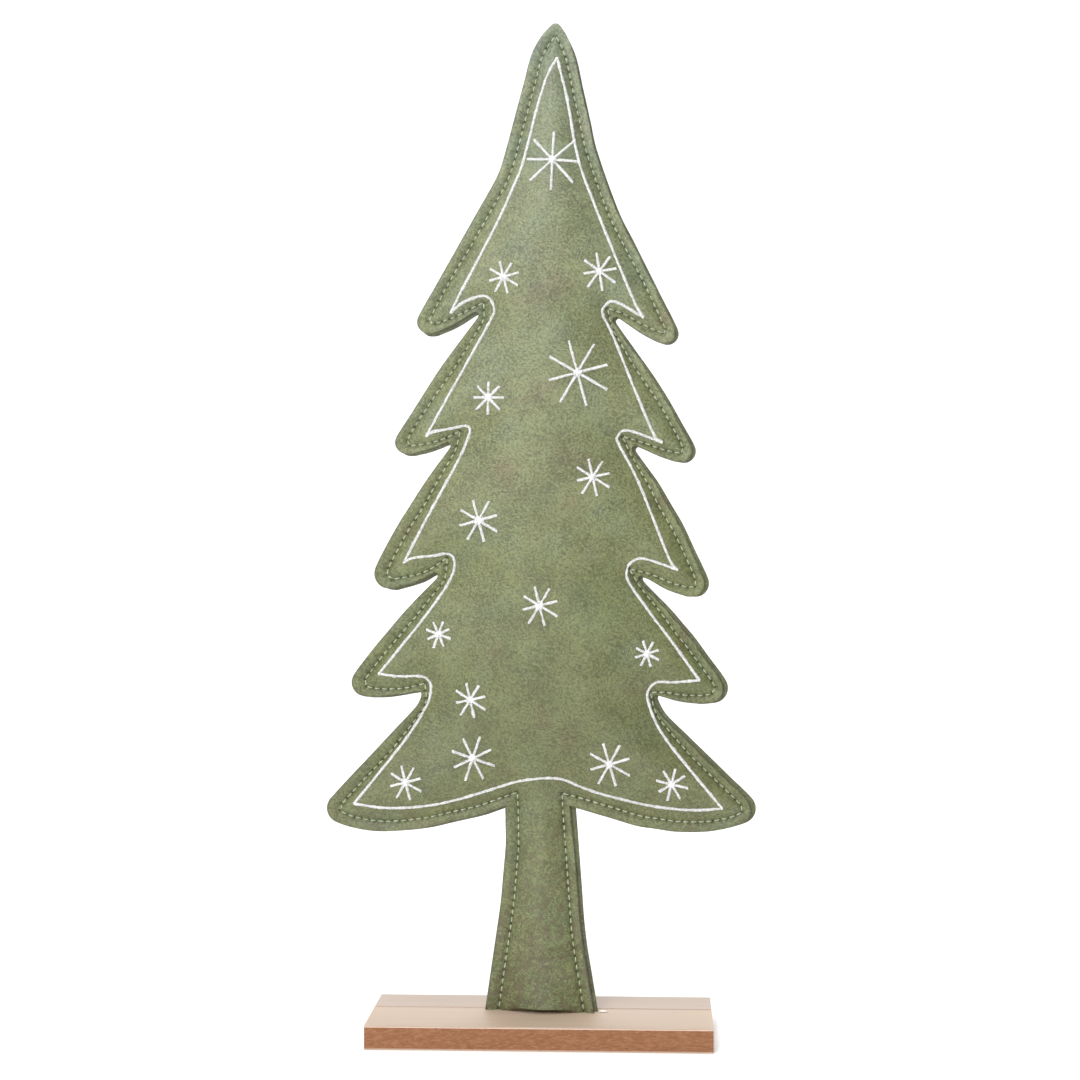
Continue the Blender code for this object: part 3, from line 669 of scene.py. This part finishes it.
# %% The path of the outline
TOP = 0.090+0.9648j
OUTLINE_RUNS = (
    (0.048+0.9484j, 0.004+0.9210j, -0.072+0.8594j, -0.119+0.8344j, -0.199+0.7964j, -0.385+0.7212j,
     -0.415+0.7085j),
    (-0.358+0.7185j, -0.276+0.7251j, -0.232+0.7230j, -0.210+0.7129j, -0.229+0.6998j, -0.378+0.6426j,
     -0.533+0.5832j),
    (-0.501+0.5877j, -0.426+0.5907j, -0.346+0.5937j, -0.325+0.5876j, -0.376+0.5608j, -0.512+0.5074j,
     -0.641+0.4548j),
    (-0.597+0.4595j, -0.503+0.4619j, -0.430+0.4639j, -0.401+0.4568j, -0.419+0.4386j, -0.535+0.4016j,
     -0.761+0.3416j),
    (-0.667+0.3393j, -0.561+0.3393j, -0.523+0.3343j, -0.514+0.3251j, -0.540+0.3069j, -0.648+0.2713j,
     -0.881+0.2091j),
    (-0.737+0.2052j, -0.572+0.2064j, -0.409+0.2127j, -0.188+0.2271j, -0.101+0.2329j, 0.009+0.2364j,
     0.103+0.2355j, 0.194+0.2275j, 0.303+0.2195j, 0.525+0.2086j, 0.714+0.2044j, 0.860+0.2060j),
    (0.637+0.2642j, 0.554+0.2904j, 0.511+0.3156j, 0.516+0.3257j, 0.554+0.3337j, 0.638+0.3338j, 0.753+0.3358j),
    (0.630+0.3731j, 0.514+0.4063j, 0.424+0.4345j, 0.413+0.4469j, 0.438+0.4556j, 0.498+0.4586j, 0.651+0.4475j),
    (0.610+0.4601j, 0.469+0.5361j, 0.376+0.5748j, 0.372+0.5824j, 0.419+0.5884j, 0.580+0.5762j),
    (0.530+0.5893j, 0.354+0.6819j, 0.302+0.7061j, 0.318+0.7156j, 0.364+0.7184j, 0.493+0.7028j),
    (0.447+0.7199j, 0.314+0.7894j, 0.243+0.8286j, 0.198+0.8553j, 0.166+0.8859j, 0.136+0.9241j, 0.090+0.9648j),
)
SATIN_PITCH = 0.00054
CURVE_PARTS = 8


def curve_through(places, step):
    """A smooth curve through given places, in evenly short steps."""
    padded = [2 * places[0] - places[1], *places, 2 * places[-1] - places[-2]]
    line = []
    for a, b, c, d in zip(padded, padded[1:], padded[2:], padded[3:]):
        line += bow(b, c, (c - a) / 2, (d - b) / 2, CURVE_PARTS)
    return evenly(np.array(line + [places[-1]]), step)


outline_runs = []
tip = TOP
for shares in OUTLINE_RUNS:
    outline_runs.append(curve_through(in_pattern([tip, *shares]), SATIN_PITCH))
    tip = shares[-1]
print("the outline has", len(outline_runs), "runs, together", metres(np.concatenate(outline_runs)), "long")

# %% Lay satin stitches along a path
SATIN_SLANT = math.radians(14.0)
SATIN_RISE = np.array([-0.0007, 0.00022, 0.00042, 0.00022, -0.0007])
SATIN_SPOTS = np.array([-0.5, -0.40, 0.0, 0.40, 0.5])
UNEVEN_WIDTH = 0.26
UNEVEN_PLACE = 0.05
UNEVEN_RISE = 0.00014
SATIN_SIDES = 5
draws = np.random.default_rng(7)


def uneven(count, size):
    """Random unevenness that runs over a few stitches."""
    rough = draws.normal(0.0, size, count + 2)
    return (rough[:-2] + rough[1:-1] + rough[2:]) / 3


def satin(line, width, lift=0.0):
    """The arches of a satin column along a path, each a little uneven in width, place and height."""
    count = len(line)
    ahead = np.gradient(line)
    across = ahead / abs(ahead) * 1j * cmath.exp(1j * SATIN_SLANT)
    widths = 1 + uneven(count, UNEVEN_WIDTH)
    aside = uneven(count, UNEVEN_PLACE)
    spots = line[:, None] + (across * width)[:, None] * (widths[:, None] * SATIN_SPOTS + aside[:, None])
    lifts = np.asarray(lift) + uneven(count, UNEVEN_RISE)
    return in_room(spots, (front_depth(line) - lifts)[:, None] - SATIN_RISE)


def thread_piece(name, paths, thread, slot, node):
    piece = new_piece(name, *tubes(np.concatenate(paths), thread, SATIN_SIDES), slot)
    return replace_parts(piece, node)


OUTLINE_SPAN = 0.00104
OUTLINE_THREAD = 0.00026
outline_paths = [satin(run, OUTLINE_SPAN) for run in outline_runs]
outline = thread_piece("outline_satin", outline_paths, OUTLINE_THREAD, "outline_thread", "embroidered_outline")
print("the outline has", sum(len(paths) for paths in outline_paths), "stitches")

# %% [markdown]
# ## The snowflakes
#
# All fifteen follow one motif at different sizes: eight satin columns that start in the middle. The columns are
# worked one after another, so each is a hair higher than the last. The thread starts and ends in the middle too,
# in a few short stitches one across the other, which pile up into a small round knot.

# %% Embroider the snowflakes
STARS = (
    (0.069+0.8611j, 0.88, 3),
    (-0.162+0.7435j, 0.50, -14),
    (0.288+0.7486j, 0.56, -9),
    (0.185+0.6464j, 1.00, -15),
    (-0.235+0.6218j, 0.50, 1),
    (0.255+0.5413j, 0.56, -13),
    (-0.282+0.4978j, 0.65, -15),
    (0.006+0.4120j, 0.59, -14),
    (-0.474+0.3824j, 0.41, -25),
    (0.508+0.3629j, 0.40, -17),
    (-0.323+0.3163j, 0.52, -13),
    (-0.312+0.2570j, 0.69, -26),
    (-0.633+0.2317j, 0.53, -15),
    (0.331+0.2514j, 0.68, -16),
    (0.622+0.2310j, 0.50, -31),
)
STAR_ARM_SHARES = (1.00, 1.01, 0.95, 1.05, 1.05, 1.06, 0.90, 0.98)
STAR_REACH = 0.0144
STAR_SPAN = 0.00094
STAR_THREAD = 0.00026
ARM_STEP = 0.00004
KNOT_STITCHES = 18
KNOT_SPAN = 0.0038
KNOT_SPREAD = 0.00060
KNOT_LENGTHS = (0.75, 1.0)
KNOT_RISE = np.array([-0.0004, 0.00055, 0.00095, 0.00055, -0.0004])


def knot(centre, size):
    """Short stitches across a centre in all directions, each a little higher than the last."""
    headings = np.exp(1j * draws.uniform(0, 2 * math.pi, KNOT_STITCHES))
    middles = centre + draws.normal(0.0, KNOT_SPREAD, KNOT_STITCHES) * headings * 1j
    lengths = KNOT_SPAN * size * draws.uniform(*KNOT_LENGTHS, KNOT_STITCHES)
    spots = middles[:, None] + (headings * lengths)[:, None] * SATIN_SPOTS
    heights = np.arange(KNOT_STITCHES) / KNOT_STITCHES * STAR_THREAD
    return in_room(spots, front_depth([centre]) - KNOT_RISE - heights[:, None])


def snowflake(number, place_share, size_share, degrees):
    centre = in_pattern(place_share)
    paths = []
    for i, share in enumerate(STAR_ARM_SHARES):
        heading = 1j * cmath.exp(-1j * (math.radians(degrees) + i * math.pi / 4))
        reach = STAR_REACH * size_share * share
        run = np.arange(SATIN_PITCH / 2, reach, SATIN_PITCH)
        paths.append(satin(centre + heading * run, STAR_SPAN, ARM_STEP * i))
    paths.append(knot(centre, math.sqrt(size_share)))
    name, node = f"snowflake_satin_{number:02d}", f"snowflake_{number:02d}"
    return thread_piece(name, paths, STAR_THREAD, "snowflake_thread", node)


snowflakes = [snowflake(number, *row) for number, row in enumerate(STARS, 1)]
print("snowflakes:", len(snowflakes))

# %% [markdown]
# ## What the cloth is
#
# Both sheets were cut flat to one pattern, about 187 mm wide and 435 mm high. The pattern isn't a rectangle, so
# its area is stated too: it is the area that the edge encloses.

PATTERN_AREA = abs(float((EDGE.conj() * np.roll(EDGE, -1)).imag.sum())) / 2
print("each sheet's flat area is", round(PATTERN_AREA * 1e4), "square centimetres")

# %% [markdown]
# ## The glue lines of the foot
#
# The veneers are glued to the board, and the CAD solids leave that film of glue out as a thin gap. Seen from the
# side the gap would be a black line, which the real foot hasn't got, so three thin films fill it. The kerf runs
# the whole length of the foot, and beside the trunk it shows only as a faint brown line. So it is filled there
# with brown filler, a tenth of a millimetre lower than the veneer. Plain blocks are enough for all five.

# %% Fill the glue lines
FILM_INSET = 0.00002
FILL_DIP = 0.00010
BLOCK_FACES = [[3, 2, 1, 0], [4, 5, 6, 7], [0, 1, 5, 4], [1, 2, 6, 5], [2, 3, 7, 6], [3, 0, 4, 7]]


def glue_block(name, xs, ys, zs):
    """A block of glue between two corners, a hair smaller than its gap in x and y."""
    left, right, front, back = xs[0] + FILM_INSET, xs[1] - FILM_INSET, ys[0] + FILM_INSET, ys[1] - FILM_INSET
    round_about = ((left, front), (right, front), (right, back), (left, back))
    corners = [(x, y, z) for z in zs for x, y in round_about]
    block = new_piece(name, corners, BLOCK_FACES, "glue")
    block.data.shade_flat()
    return block


def glue_film(side):
    """A thin plate in the gap between the veneer on one side of the board and the board."""
    low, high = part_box(f"base_veneer_{side}")
    under, over = sorted([low.z, high.z, foot_low.z, foot_high.z])[1:3]
    return glue_block(f"glue_film_{side}", (low.x, high.x), (low.y, high.y), (under, over))


def kerf_fill(name, from_x, to_x):
    """Filler pressed into the open part of the kerf, a little lower than the veneer."""
    front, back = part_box("base_veneer_front")[1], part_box("base_veneer_back")[0]
    return glue_block(name, (from_x, to_x), (front.y, back.y), (core_low.z + FILM_INSET, front.z - FILL_DIP))


(core_low, core_high), (foot_low, foot_high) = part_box("core_board"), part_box("base_board")
films = [glue_film(side) for side in ("front", "back", "bottom")]
fills = [
    kerf_fill("kerf_fill_left", foot_low.x, core_low.x - FIT_GAP),
    kerf_fill("kerf_fill_right", core_high.x + FIT_GAP, foot_high.x),
]
print("glue films and fillers:", [piece.name for piece in films + fills])

# %% [markdown]
# ## Building a finish
#
# Every finish here is a small network of nodes round one Principled shader. The nodes read the object's own
# coordinates in metres, so the scale is true, nothing needs unwrapping, and a finish stays put from every angle.
# The first helpers make a node, and begin and end such a network. A socket knows the network that it belongs to,
# so the helpers after them need no more than the value that they start from.

# %% Begin and end a finish
def set_inputs(node, inputs):
    """Sets a node's inputs to values, or links them where the value is another node's output."""
    for name, value in inputs.items():
        if isinstance(value, bpy.types.NodeSocket):
            node.id_data.links.new(value, node.inputs[name])
        else:
            node.inputs[name].default_value = value


def add_node(tree, kind, inputs, output=0, **settings):
    """The output of a new node with these inputs and settings."""
    node = tree.nodes.new(kind)
    for key, value in settings.items():
        setattr(node, key, value)
    set_inputs(node, inputs)
    return node.outputs[output]


def begin_finish(name, roughness, specular=0.5, sheen=0.0):
    """A finish without colour, and the place on the object that its nodes start from."""
    finish = bpy.data.materials.new(name)
    finish.use_nodes = True
    gloss = {"Roughness": roughness, "Specular IOR Level": specular, "Sheen Weight": sheen}
    set_inputs(finish.node_tree.nodes["Principled BSDF"], gloss)
    return finish, add_node(finish.node_tree, "ShaderNodeTexCoord", {}, "Object")


def end_finish(finish, colour, height=None, bump=0.0, depth=0.001):
    """Gives the shader its colour and, where there is a height, a bumpy surface."""
    inputs = {"Base Color": colour}
    if height is not None:
        bumps = {"Height": height, "Strength": bump, "Distance": depth}
        inputs["Normal"] = add_node(finish.node_tree, "ShaderNodeBump", bumps)
    set_inputs(finish.node_tree.nodes["Principled BSDF"], inputs)
    return finish


def dress(finish, *pieces):
    """Gives new pieces their finish."""
    for piece in pieces:
        piece.data.materials.clear()
        piece.data.materials.append(finish)


print("a finish can be begun and ended")

# %% [markdown]
# Noise that can be turned and drawn out along one direction makes fibres, nap and wood grain. The other helpers
# turn such a value into colours, stretch it, and mix or add two of them. The simplest finish is one noise that
# shares two colours out and may lift the surface as well, which is enough for thread, glue and wadding.

# %% Noise and colours
def noise_of(place, grains, degrees=0.0, detail=2.0, seed=0.0):
    """Noise of about this many grains a metre along X, Y and Z, turned in the plane of the tree's front."""
    tree, turn = place.id_data, (0.0, math.radians(degrees), 0.0)
    turned = add_node(tree, "ShaderNodeMapping", {"Vector": place, "Rotation": turn})
    moved = {"Vector": turned, "Scale": grains, "Location": (seed, seed, seed)}
    scaled = add_node(tree, "ShaderNodeMapping", moved)
    return add_node(tree, "ShaderNodeTexNoise", {"Vector": scaled, "Scale": 1.0, "Detail": detail})


def banded(value, *stops):
    """Colours along a value: (position, (red, green, blue)) for each stop."""
    colours = add_node(value.id_data, "ShaderNodeValToRGB", {"Fac": value})
    elements = colours.node.color_ramp.elements
    while len(elements) < len(stops):
        elements.new(1.0)
    for element, (position, colour) in zip(elements, stops):
        element.position = position
        element.color = (*colour, 1.0)
    return colours


def span(value, low, high, most=1.0):
    """A value stretched from between low and high to between none and most, and kept there."""
    inputs = {"Value": value, "From Min": low, "From Max": high, "To Max": most}
    return add_node(value.id_data, "ShaderNodeMapRange", inputs)


def mixed(share, first, second, kind="MIX"):
    """Two colours mixed. The second may be a plain colour."""
    inputs = {0: share, 6: first, 7: (*second, 1.0) if isinstance(second, tuple) else second}
    return add_node(first.id_data, "ShaderNodeMix", inputs, 2, data_type="RGBA", blend_type=kind)


def summed(first, second, share):
    """The first value plus a share of the second."""
    return add_node(second.id_data, "ShaderNodeMath", {0: second, 1: share, 2: first}, operation="MULTIPLY_ADD")


def two_toned(name, low, high, grains, roughness, ends=(0.3, 0.7), degrees=0.0, detail=2.0, bump=0.0, **gloss):
    """A finish of two colours that one noise shares out, and that it may lift too."""
    finish, place = begin_finish(name, roughness, **gloss)
    grain = noise_of(place, grains, degrees, detail)
    return end_finish(finish, banded(grain, (ends[0], low), (ends[1], high)), grain if bump else None, bump)


print("helpers for finishes ready")

# %% [markdown]
# ## Felt
#
# Wool felt has no threads. Its fibres lie in every direction, but pressing and brushing turn them over small
# areas, so the surface looks streaked this way here and that way there. Three drawn-out noises at different
# angles, swapped by a slower noise, give that, and two more with a high threshold give single dark and pale
# fibres. A photo of felt would be quicker, but it would carry its own light, and it would need unwrapping.
#
# The wool was dyed unevenly, so larger, softer patches go from grey-green to olive and brown, and brown mottles
# gather towards the foot. On top of that the sheet is painted paler and cooler at its top and darker low in its
# body: painted light from above and painted shade below. Two measures stored on the mesh paint shade into the
# needle holes and onto the cut edge.

# %% Colours of the felt
FELT_GREEN = (0.150, 0.170, 0.078)
FELT_GREY = (0.147, 0.170, 0.086)
FELT_OLIVE = (0.154, 0.166, 0.075)
FELT_BROWN = (0.146, 0.142, 0.070)
MOTTLE_BROWN = (0.116, 0.096, 0.054)
FIBRE_DARK = (0.064, 0.066, 0.030)
FIBRE_PALE = (0.270, 0.285, 0.175)
# Painted shade: the colour that the needle holes are darkened to.
HOLE_PAINTED_SHADE = (0.020, 0.024, 0.012)
# Painted shade: the colour that the cut edge is darkened to.
CUT_EDGE_PAINTED_SHADE = (0.066, 0.057, 0.034)
STREAK_TONES = ((0.25, (0.62, 0.62, 0.61)), (0.50, (0.98, 0.98, 0.98)), (0.75, (1.36, 1.36, 1.35)))
HUES = ((0.36, FELT_GREY), (0.47, FELT_GREEN), (0.54, FELT_OLIVE), (0.59, FELT_GREEN), (0.70, FELT_BROWN))
# Painted light and shade by height: the felt's colour is made paler and cooler towards the top and darker low in
# the body.
PAINTED_LIGHT_BY_HEIGHT = (
    (0.20, (1.00, 1.00, 0.96)),
    (0.30, (0.85, 0.84, 0.78)),
    (0.44, (0.95, 0.95, 0.88)),
    (0.56, (1.08, 1.06, 1.06)),
    (0.78, (1.18, 1.17, 1.32)),
    (1.00, (1.24, 1.27, 1.76)),
)
# The tones by height counted here are painted light and shade.
print("the felt changes over", len(HUES), "hues and", len(PAINTED_LIGHT_BY_HEIGHT), "tones of dye by height")

# %% [markdown]
# Each noise of the felt has four facts: its grains a metre along X, Y and Z, its turn in degrees, its detail, and
# a seed that keeps it apart from the others. A noise that is stretched has two limits too, and the most that it
# may come to. All of them were set by comparing renders with the photo at the same size.

# %% Make the felt
CURL = (80.0, 0.0040)
FIBRE = (560.0, 1500.0, 2300.0)
NAPS = ((FIBRE, -12.0, 4.0, 0.0), (FIBRE, -52.0, 4.0, 3.0), (FIBRE, 60.0, 4.0, 7.0))
SWAPS = (((100.0, 100.0, 100.0), 0.0, 2.0, 11.0), ((120.0, 120.0, 120.0), 0.0, 2.0, 17.0))
SWAP_LIMITS = ((0.44, 0.56), (0.48, 0.60))
FINE = ((1000.0, 1000.0, 1200.0), -15.0, 3.0, 31.0)
CLOUD = ((75.0, 75.0, 90.0), 20.0, 5.0, 23.0)
PATCHES = ((42.0, 42.0, 54.0), 35.0, 6.0, 41.0)
MOTTLES = ((300.0, 300.0, 330.0), 0.0, 4.0, 61.0)
MOTTLE_LIMITS = (0.48, 0.58, 0.65)
FOOT_LIMITS = (0.150, 0.045)
TONE_LEVEL, STREAK_SHARE, FINE_SHARE, CLOUD_SHARE = -1.15, 1.45, 1.25, 0.60
LONE = (360.0, 2400.0, 2800.0)
LONE_FIBRES = (
    ((LONE, 25.0, 1.0, 51.0), (0.64, 0.74, 0.40), FIBRE_DARK),
    ((LONE, -40.0, 1.0, 71.0), (0.68, 0.78, 0.35), FIBRE_PALE),
)
# Painted shade on the cut edge and in the needle holes: the measure, its limits and the shade colour.
PAINTED_SHADE_MARKS = (("cut_edge_painted_shade", (0.0, 1.0, 0.80), CUT_EDGE_PAINTED_SHADE), ("pit_painted_shade", (0.20, 0.90, 0.55), HOLE_PAINTED_SHADE))
FINE_BUMP_SHARE = 0.8


def bent(place, grains, reach):
    """The place, pushed about by slow noise, so that straight fibres become curved ones."""
    tree = place.id_data
    slow = add_node(tree, "ShaderNodeTexNoise", {"Vector": place, "Scale": grains, "Detail": 1.0}, "Color")
    centred = add_node(tree, "ShaderNodeVectorMath", {0: slow, 1: (0.5, 0.5, 0.5)}, operation="SUBTRACT")
    pushed = {0: centred, 1: (reach, reach, reach), 2: place}
    return add_node(tree, "ShaderNodeVectorMath", pushed, operation="MULTIPLY_ADD")


def felt_nap(place, curved):
    """How light the felt's streaks are: three directions of fibre, each in its own patches."""
    flat, leaning, steep = (noise_of(curved, *nap) for nap in NAPS)
    swaps = [span(noise_of(place, *swap), *limits) for swap, limits in zip(SWAPS, SWAP_LIMITS)]
    nap = mixed(swaps[1], mixed(swaps[0], flat, leaning), steep)
    return add_node(place.id_data, "ShaderNodeRGBToBW", {"Color": nap})


def felt_finish(name):
    finish, place = begin_finish(name, roughness=0.35, specular=0.42)
    tree, curved = finish.node_tree, bent(place, *CURL)
    height = add_node(tree, "ShaderNodeSeparateXYZ", {0: place}, "Z")
    streak, fine, cloud = felt_nap(place, curved), noise_of(place, *FINE), noise_of(curved, *CLOUD)
    tone = summed(summed(summed(TONE_LEVEL, streak, STREAK_SHARE), fine, FINE_SHARE), cloud, CLOUD_SHARE)
    colour = banded(noise_of(place, *PATCHES), *HUES)
    # The second set of tones is painted light and shade by height: paler and cooler high up, darker low down.
    for tones in (banded(tone, *STREAK_TONES), banded(span(height, 0.0, PATTERN_HEIGHT), *PAINTED_LIGHT_BY_HEIGHT)):
        colour = mixed(1.0, colour, tones, "MULTIPLY")
    near_foot = span(height, *FOOT_LIMITS, MOTTLE_LIMITS[2])
    mottles = span(noise_of(curved, *MOTTLES), *MOTTLE_LIMITS[:2])
    mottled = add_node(tree, "ShaderNodeMath", {0: mottles, 1: near_foot}, operation="MULTIPLY")
    colour = mixed(mottled, colour, MOTTLE_BROWN)
    for lone, limits, tint in LONE_FIBRES:
        colour = mixed(span(noise_of(curved, *lone), *limits), colour, tint)
    # Painted shade darkens the cut edge and the needle holes.
    for shade, limits, tint in PAINTED_SHADE_MARKS:
        marked = add_node(tree, "ShaderNodeAttribute", {}, "Fac", attribute_name=shade)
        colour = mixed(span(marked, *limits), colour, tint)
    return end_finish(finish, colour, summed(streak, fine, FINE_BUMP_SHARE), bump=0.6, depth=0.0005)


felt = felt_finish("felt_green")
dress(felt, front_sheet, back_sheet)
print("felt on", front_sheet.name, "and", back_sheet.name)

# %% [markdown]
# ## Wadding and board
#
# Neither shows from outside, but both are part of the tree, so each has its own finish: white loose fibre, and
# brown pressed hardboard.

# %% Make wadding and hardboard
wadding = two_toned(
    "wadding_white", (0.72, 0.72, 0.69), (0.90, 0.90, 0.87),
    grains=(500.0, 900.0, 1400.0), roughness=1.0, degrees=30.0, detail=5.0, bump=0.8, specular=0.1, sheen=0.4,
)
hardboard = two_toned(
    "hardboard_brown", (0.20, 0.12, 0.06), (0.36, 0.24, 0.14),
    grains=(700.0, 700.0, 900.0), roughness=0.8, degrees=12.0, detail=5.0, bump=0.4,
)
dress(wadding, front_pad, back_pad)
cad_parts["core_board"].material_slots[0].material = hardboard
print("wadding and hardboard done")

# %% [markdown]
# ## Embroidery thread
#
# White polyester embroidery thread is smooth and a little glossy. Each arch of it catches light on its top and
# shades its neighbour, so the mesh does most of the work. The finish only adds a very slight change of tone
# from stitch to stitch. The sewing thread of the seam is duller, and pale green.

# %% Make the threads
THREAD = {"grains": (1100.0, 1100.0, 1100.0), "ends": (0.35, 0.65), "specular": 0.4, "sheen": 0.15}
white_thread = two_toned("thread_white", (0.62, 0.61, 0.61), (0.94, 0.94, 0.94), roughness=0.50, **THREAD)
green_thread = two_toned("thread_pale_green", (0.34, 0.40, 0.28), (0.58, 0.63, 0.48), roughness=0.60, **THREAD)
dress(white_thread, outline, *snowflakes)
dress(green_thread, seam_front, seam_back)
print("thread on", 1 + len(snowflakes), "embroidered and 2 sewn pieces")

# %% [markdown]
# ## The foot
#
# The foot is sawn from a veneered board. Its cut edges show the core, reddish brown fibreboard with fine level
# streaks where the fibres were pressed. Its faces have a pale wood grain with long, weak lines. The back strip
# is a little greyer. The CAD solids already have the right shape, so they only get new finishes. The glue under
# the top veneer has dried pale, and the filler and the lower glue line are as brown as the sawdust in them.

# %% Finish the foot
BOARD_DARK = (0.235, 0.103, 0.050)
BOARD_BROWN = (0.322, 0.147, 0.072)
BOARD_LIGHT = (0.400, 0.212, 0.115)
GRAIN_LIGHT = (0.500, 0.384, 0.292)
GRAIN_DARK = (0.484, 0.366, 0.274)
LAYERS = ((260.0, 260.0, 1300.0), 1.0, 4.0)
CHIPS = ((650.0, 650.0, 1900.0), 0.0, 2.0, 5.0)
LONG_LINES = ((9.0, 420.0, 420.0), 0.0, 4.0, 2.0)
PORES = ((45.0, 1600.0, 1600.0), 0.0, 2.0, 9.0)
PORE_SHARE = 0.45


def fibreboard_finish():
    finish, place = begin_finish("fibreboard_red", roughness=0.85, specular=0.25)
    chips = noise_of(place, *CHIPS)
    colour = banded(noise_of(place, *LAYERS), (0.35, BOARD_DARK), (0.65, BOARD_BROWN))
    colour = mixed(span(chips, 0.52, 0.72, most=0.55), colour, BOARD_LIGHT)
    colour = mixed(span(chips, 0.44, 0.30, most=0.55), colour, BOARD_DARK)
    return end_finish(finish, colour, chips, bump=0.25, depth=0.0003)


def veneer_finish(name, tint):
    finish, place = begin_finish(name, roughness=0.48, specular=0.35)
    grain = summed(noise_of(place, *LONG_LINES), noise_of(place, *PORES), PORE_SHARE)
    colour = banded(grain, (0.55, GRAIN_DARK), (0.85, GRAIN_LIGHT))
    return end_finish(finish, mixed(1.0, colour, tint, "MULTIPLY"), grain, bump=0.12, depth=0.0002)


veneer_pale = veneer_finish("veneer_pale", (1.0, 1.0, 1.0))
foot_finishes = {
    "base_board": fibreboard_finish(),
    "base_veneer_front": veneer_pale,
    "base_veneer_bottom": veneer_pale,
    "base_veneer_back": veneer_finish("veneer_greyer", (0.93, 0.97, 1.05)),
}
print("finishes for", sorted(foot_finishes))

# %% Finish the glue, and dress the foot
GLUE = {"grains": (800.0, 800.0, 800.0), "roughness": 0.35, "bump": 0.2}
glue_pale = two_toned("glue_pale", (0.66, 0.50, 0.41), (0.80, 0.64, 0.54), **GLUE)
glue_brown = two_toned("glue_brown", (0.34, 0.20, 0.13), (0.46, 0.30, 0.21), **GLUE)
DROP = {"grains": (900.0, 900.0, 900.0), "roughness": 0.3, "bump": 0.3}
foot_finishes["glue_bead"] = two_toned("glue_bead_white", (0.70, 0.67, 0.62), (0.84, 0.82, 0.78), **DROP)
for name, finish in foot_finishes.items():
    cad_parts[name].material_slots[0].material = finish
dress(glue_pale, *films[:2])
dress(glue_brown, films[2], *fills)
print("dressed:", sorted(foot_finishes))

# %% [markdown]
# ## Floor and light
#
# The tree stands in a white studio: a pale floor that curves up into a wall, so that no horizon shows. A soft
# light hangs in front, a little above the camera, and its gleam lies down the middle of the padded felt. Two
# more, higher and further left, make the upper half and the left slopes lighter than the rest. One above the tree
# lights the foot, and two light the floor and the wall behind until they are plain white. The powers were found
# by lighting the tree with one light at a time and adding those pictures up until they fitted. The light above
# the tree and the place of the high one were set after that.
#
# White has to stay white, so the view is the plain standard one, without the film-like curve that greys it.

# %% Build the studio
FLOOR_HALF = 3.0
WALL_Y = 1.6
WALL_TOP = 3.2
SWEEP = 0.8
SWEEP_PARTS = 9


def studio_floor():
    profile = [(-FLOOR_HALF, 0.0), (WALL_Y - SWEEP, 0.0)]
    turns = [math.pi / 2 * part / SWEEP_PARTS for part in range(1, SWEEP_PARTS + 1)]
    profile += [(WALL_Y - SWEEP + SWEEP * math.sin(turn), SWEEP - SWEEP * math.cos(turn)) for turn in turns]
    profile.append((WALL_Y, WALL_TOP))
    corners = [(x, y, z) for y, z in profile for x in (-FLOOR_HALF, FLOOR_HALF)]
    faces = [[2 * i, 2 * i + 1, 2 * i + 3, 2 * i + 2] for i in range(len(profile) - 1)]
    floor = put("studio_floor", new_mesh("studio_floor", corners, faces))
    white = {"low": (0.93, 0.93, 0.93), "high": (0.95, 0.95, 0.95), "grains": (3.0, 3.0, 3.0)}
    dress(two_toned("studio_white", roughness=0.9, specular=0.1, **white), floor)


studio_floor()
print("the floor curves up into a wall at y", WALL_Y)

# %% Light the studio
TREE_MIDDLE = (0.0, 0.0, 0.22)
FOOT_MIDDLE = (0.0, -0.1, 0.0)
FLOOR_MIDDLE = (0.0, 0.4, 0.0)
WALL_MIDDLE = (0.0, 1.4, 0.3)
WORLD_LIGHT = 0.02


def soft_light(name, spot, aim, size, watts):
    """A square light of this size in metres and power in watts, turned towards a point."""
    data = bpy.data.lights.new(name, "AREA")
    data.size = size
    data.energy = watts
    light = put(name, data)
    light.location = spot
    light.rotation_euler = (Vector(aim) - Vector(spot)).to_track_quat("-Z", "Y").to_euler()


soft_light("front_light", (-0.12, -1.45, 0.52), TREE_MIDDLE, 0.5, 6.4)
soft_light("high_light", (-0.40, -1.40, 0.90), TREE_MIDDLE, 0.5, 9.0)
soft_light("left_light", (-0.90, -1.20, 1.00), TREE_MIDDLE, 0.5, 7.8)
soft_light("floor_light", (0.0, 0.6, 1.6), FLOOR_MIDDLE, 1.2, 6.0)
soft_light("top_light", (0.0, -0.45, 1.8), FOOT_MIDDLE, 0.8, 7.0)
soft_light("wall_light", (0.0, 0.3, 2.2), WALL_MIDDLE, 1.6, 40.0)
world = bpy.data.worlds.new("studio_surround")
world.use_nodes = True
set_inputs(world.node_tree.nodes["Background"], {"Color": (1.0, 1.0, 1.0, 1.0), "Strength": WORLD_LIGHT})
bpy.context.scene.world = world
bpy.context.scene.view_settings.view_transform = "Standard"

# %% [markdown]
# ## The camera
#
# The foot's edges and the tree's tips fix where the camera stood: almost straight in front, about a metre away,
# half way up the tree, turned three degrees to the left and looking down by less than one.

# %% Set up the camera
EYE = (0.05145, -0.94378, 0.23228)
TURN, DOWN, ROLL = (math.radians(angle) for angle in (3.0894, 0.8159, -0.1274))
LENS_MM = 71.48
SENSOR_MM = 36.0

camera = put("photo_camera", bpy.data.cameras.new("photo_camera"))
camera.data.lens = LENS_MM
camera.data.sensor_width = SENSOR_MM
turned = Matrix.Rotation(TURN, 4, "Z") @ Matrix.Rotation(math.pi / 2 - DOWN, 4, "X")
camera.matrix_world = Matrix.Translation(EYE) @ turned @ Matrix.Rotation(ROLL, 4, "Z")
bpy.context.scene.camera = camera
print("camera at", EYE, "with a lens of", LENS_MM, "mm")
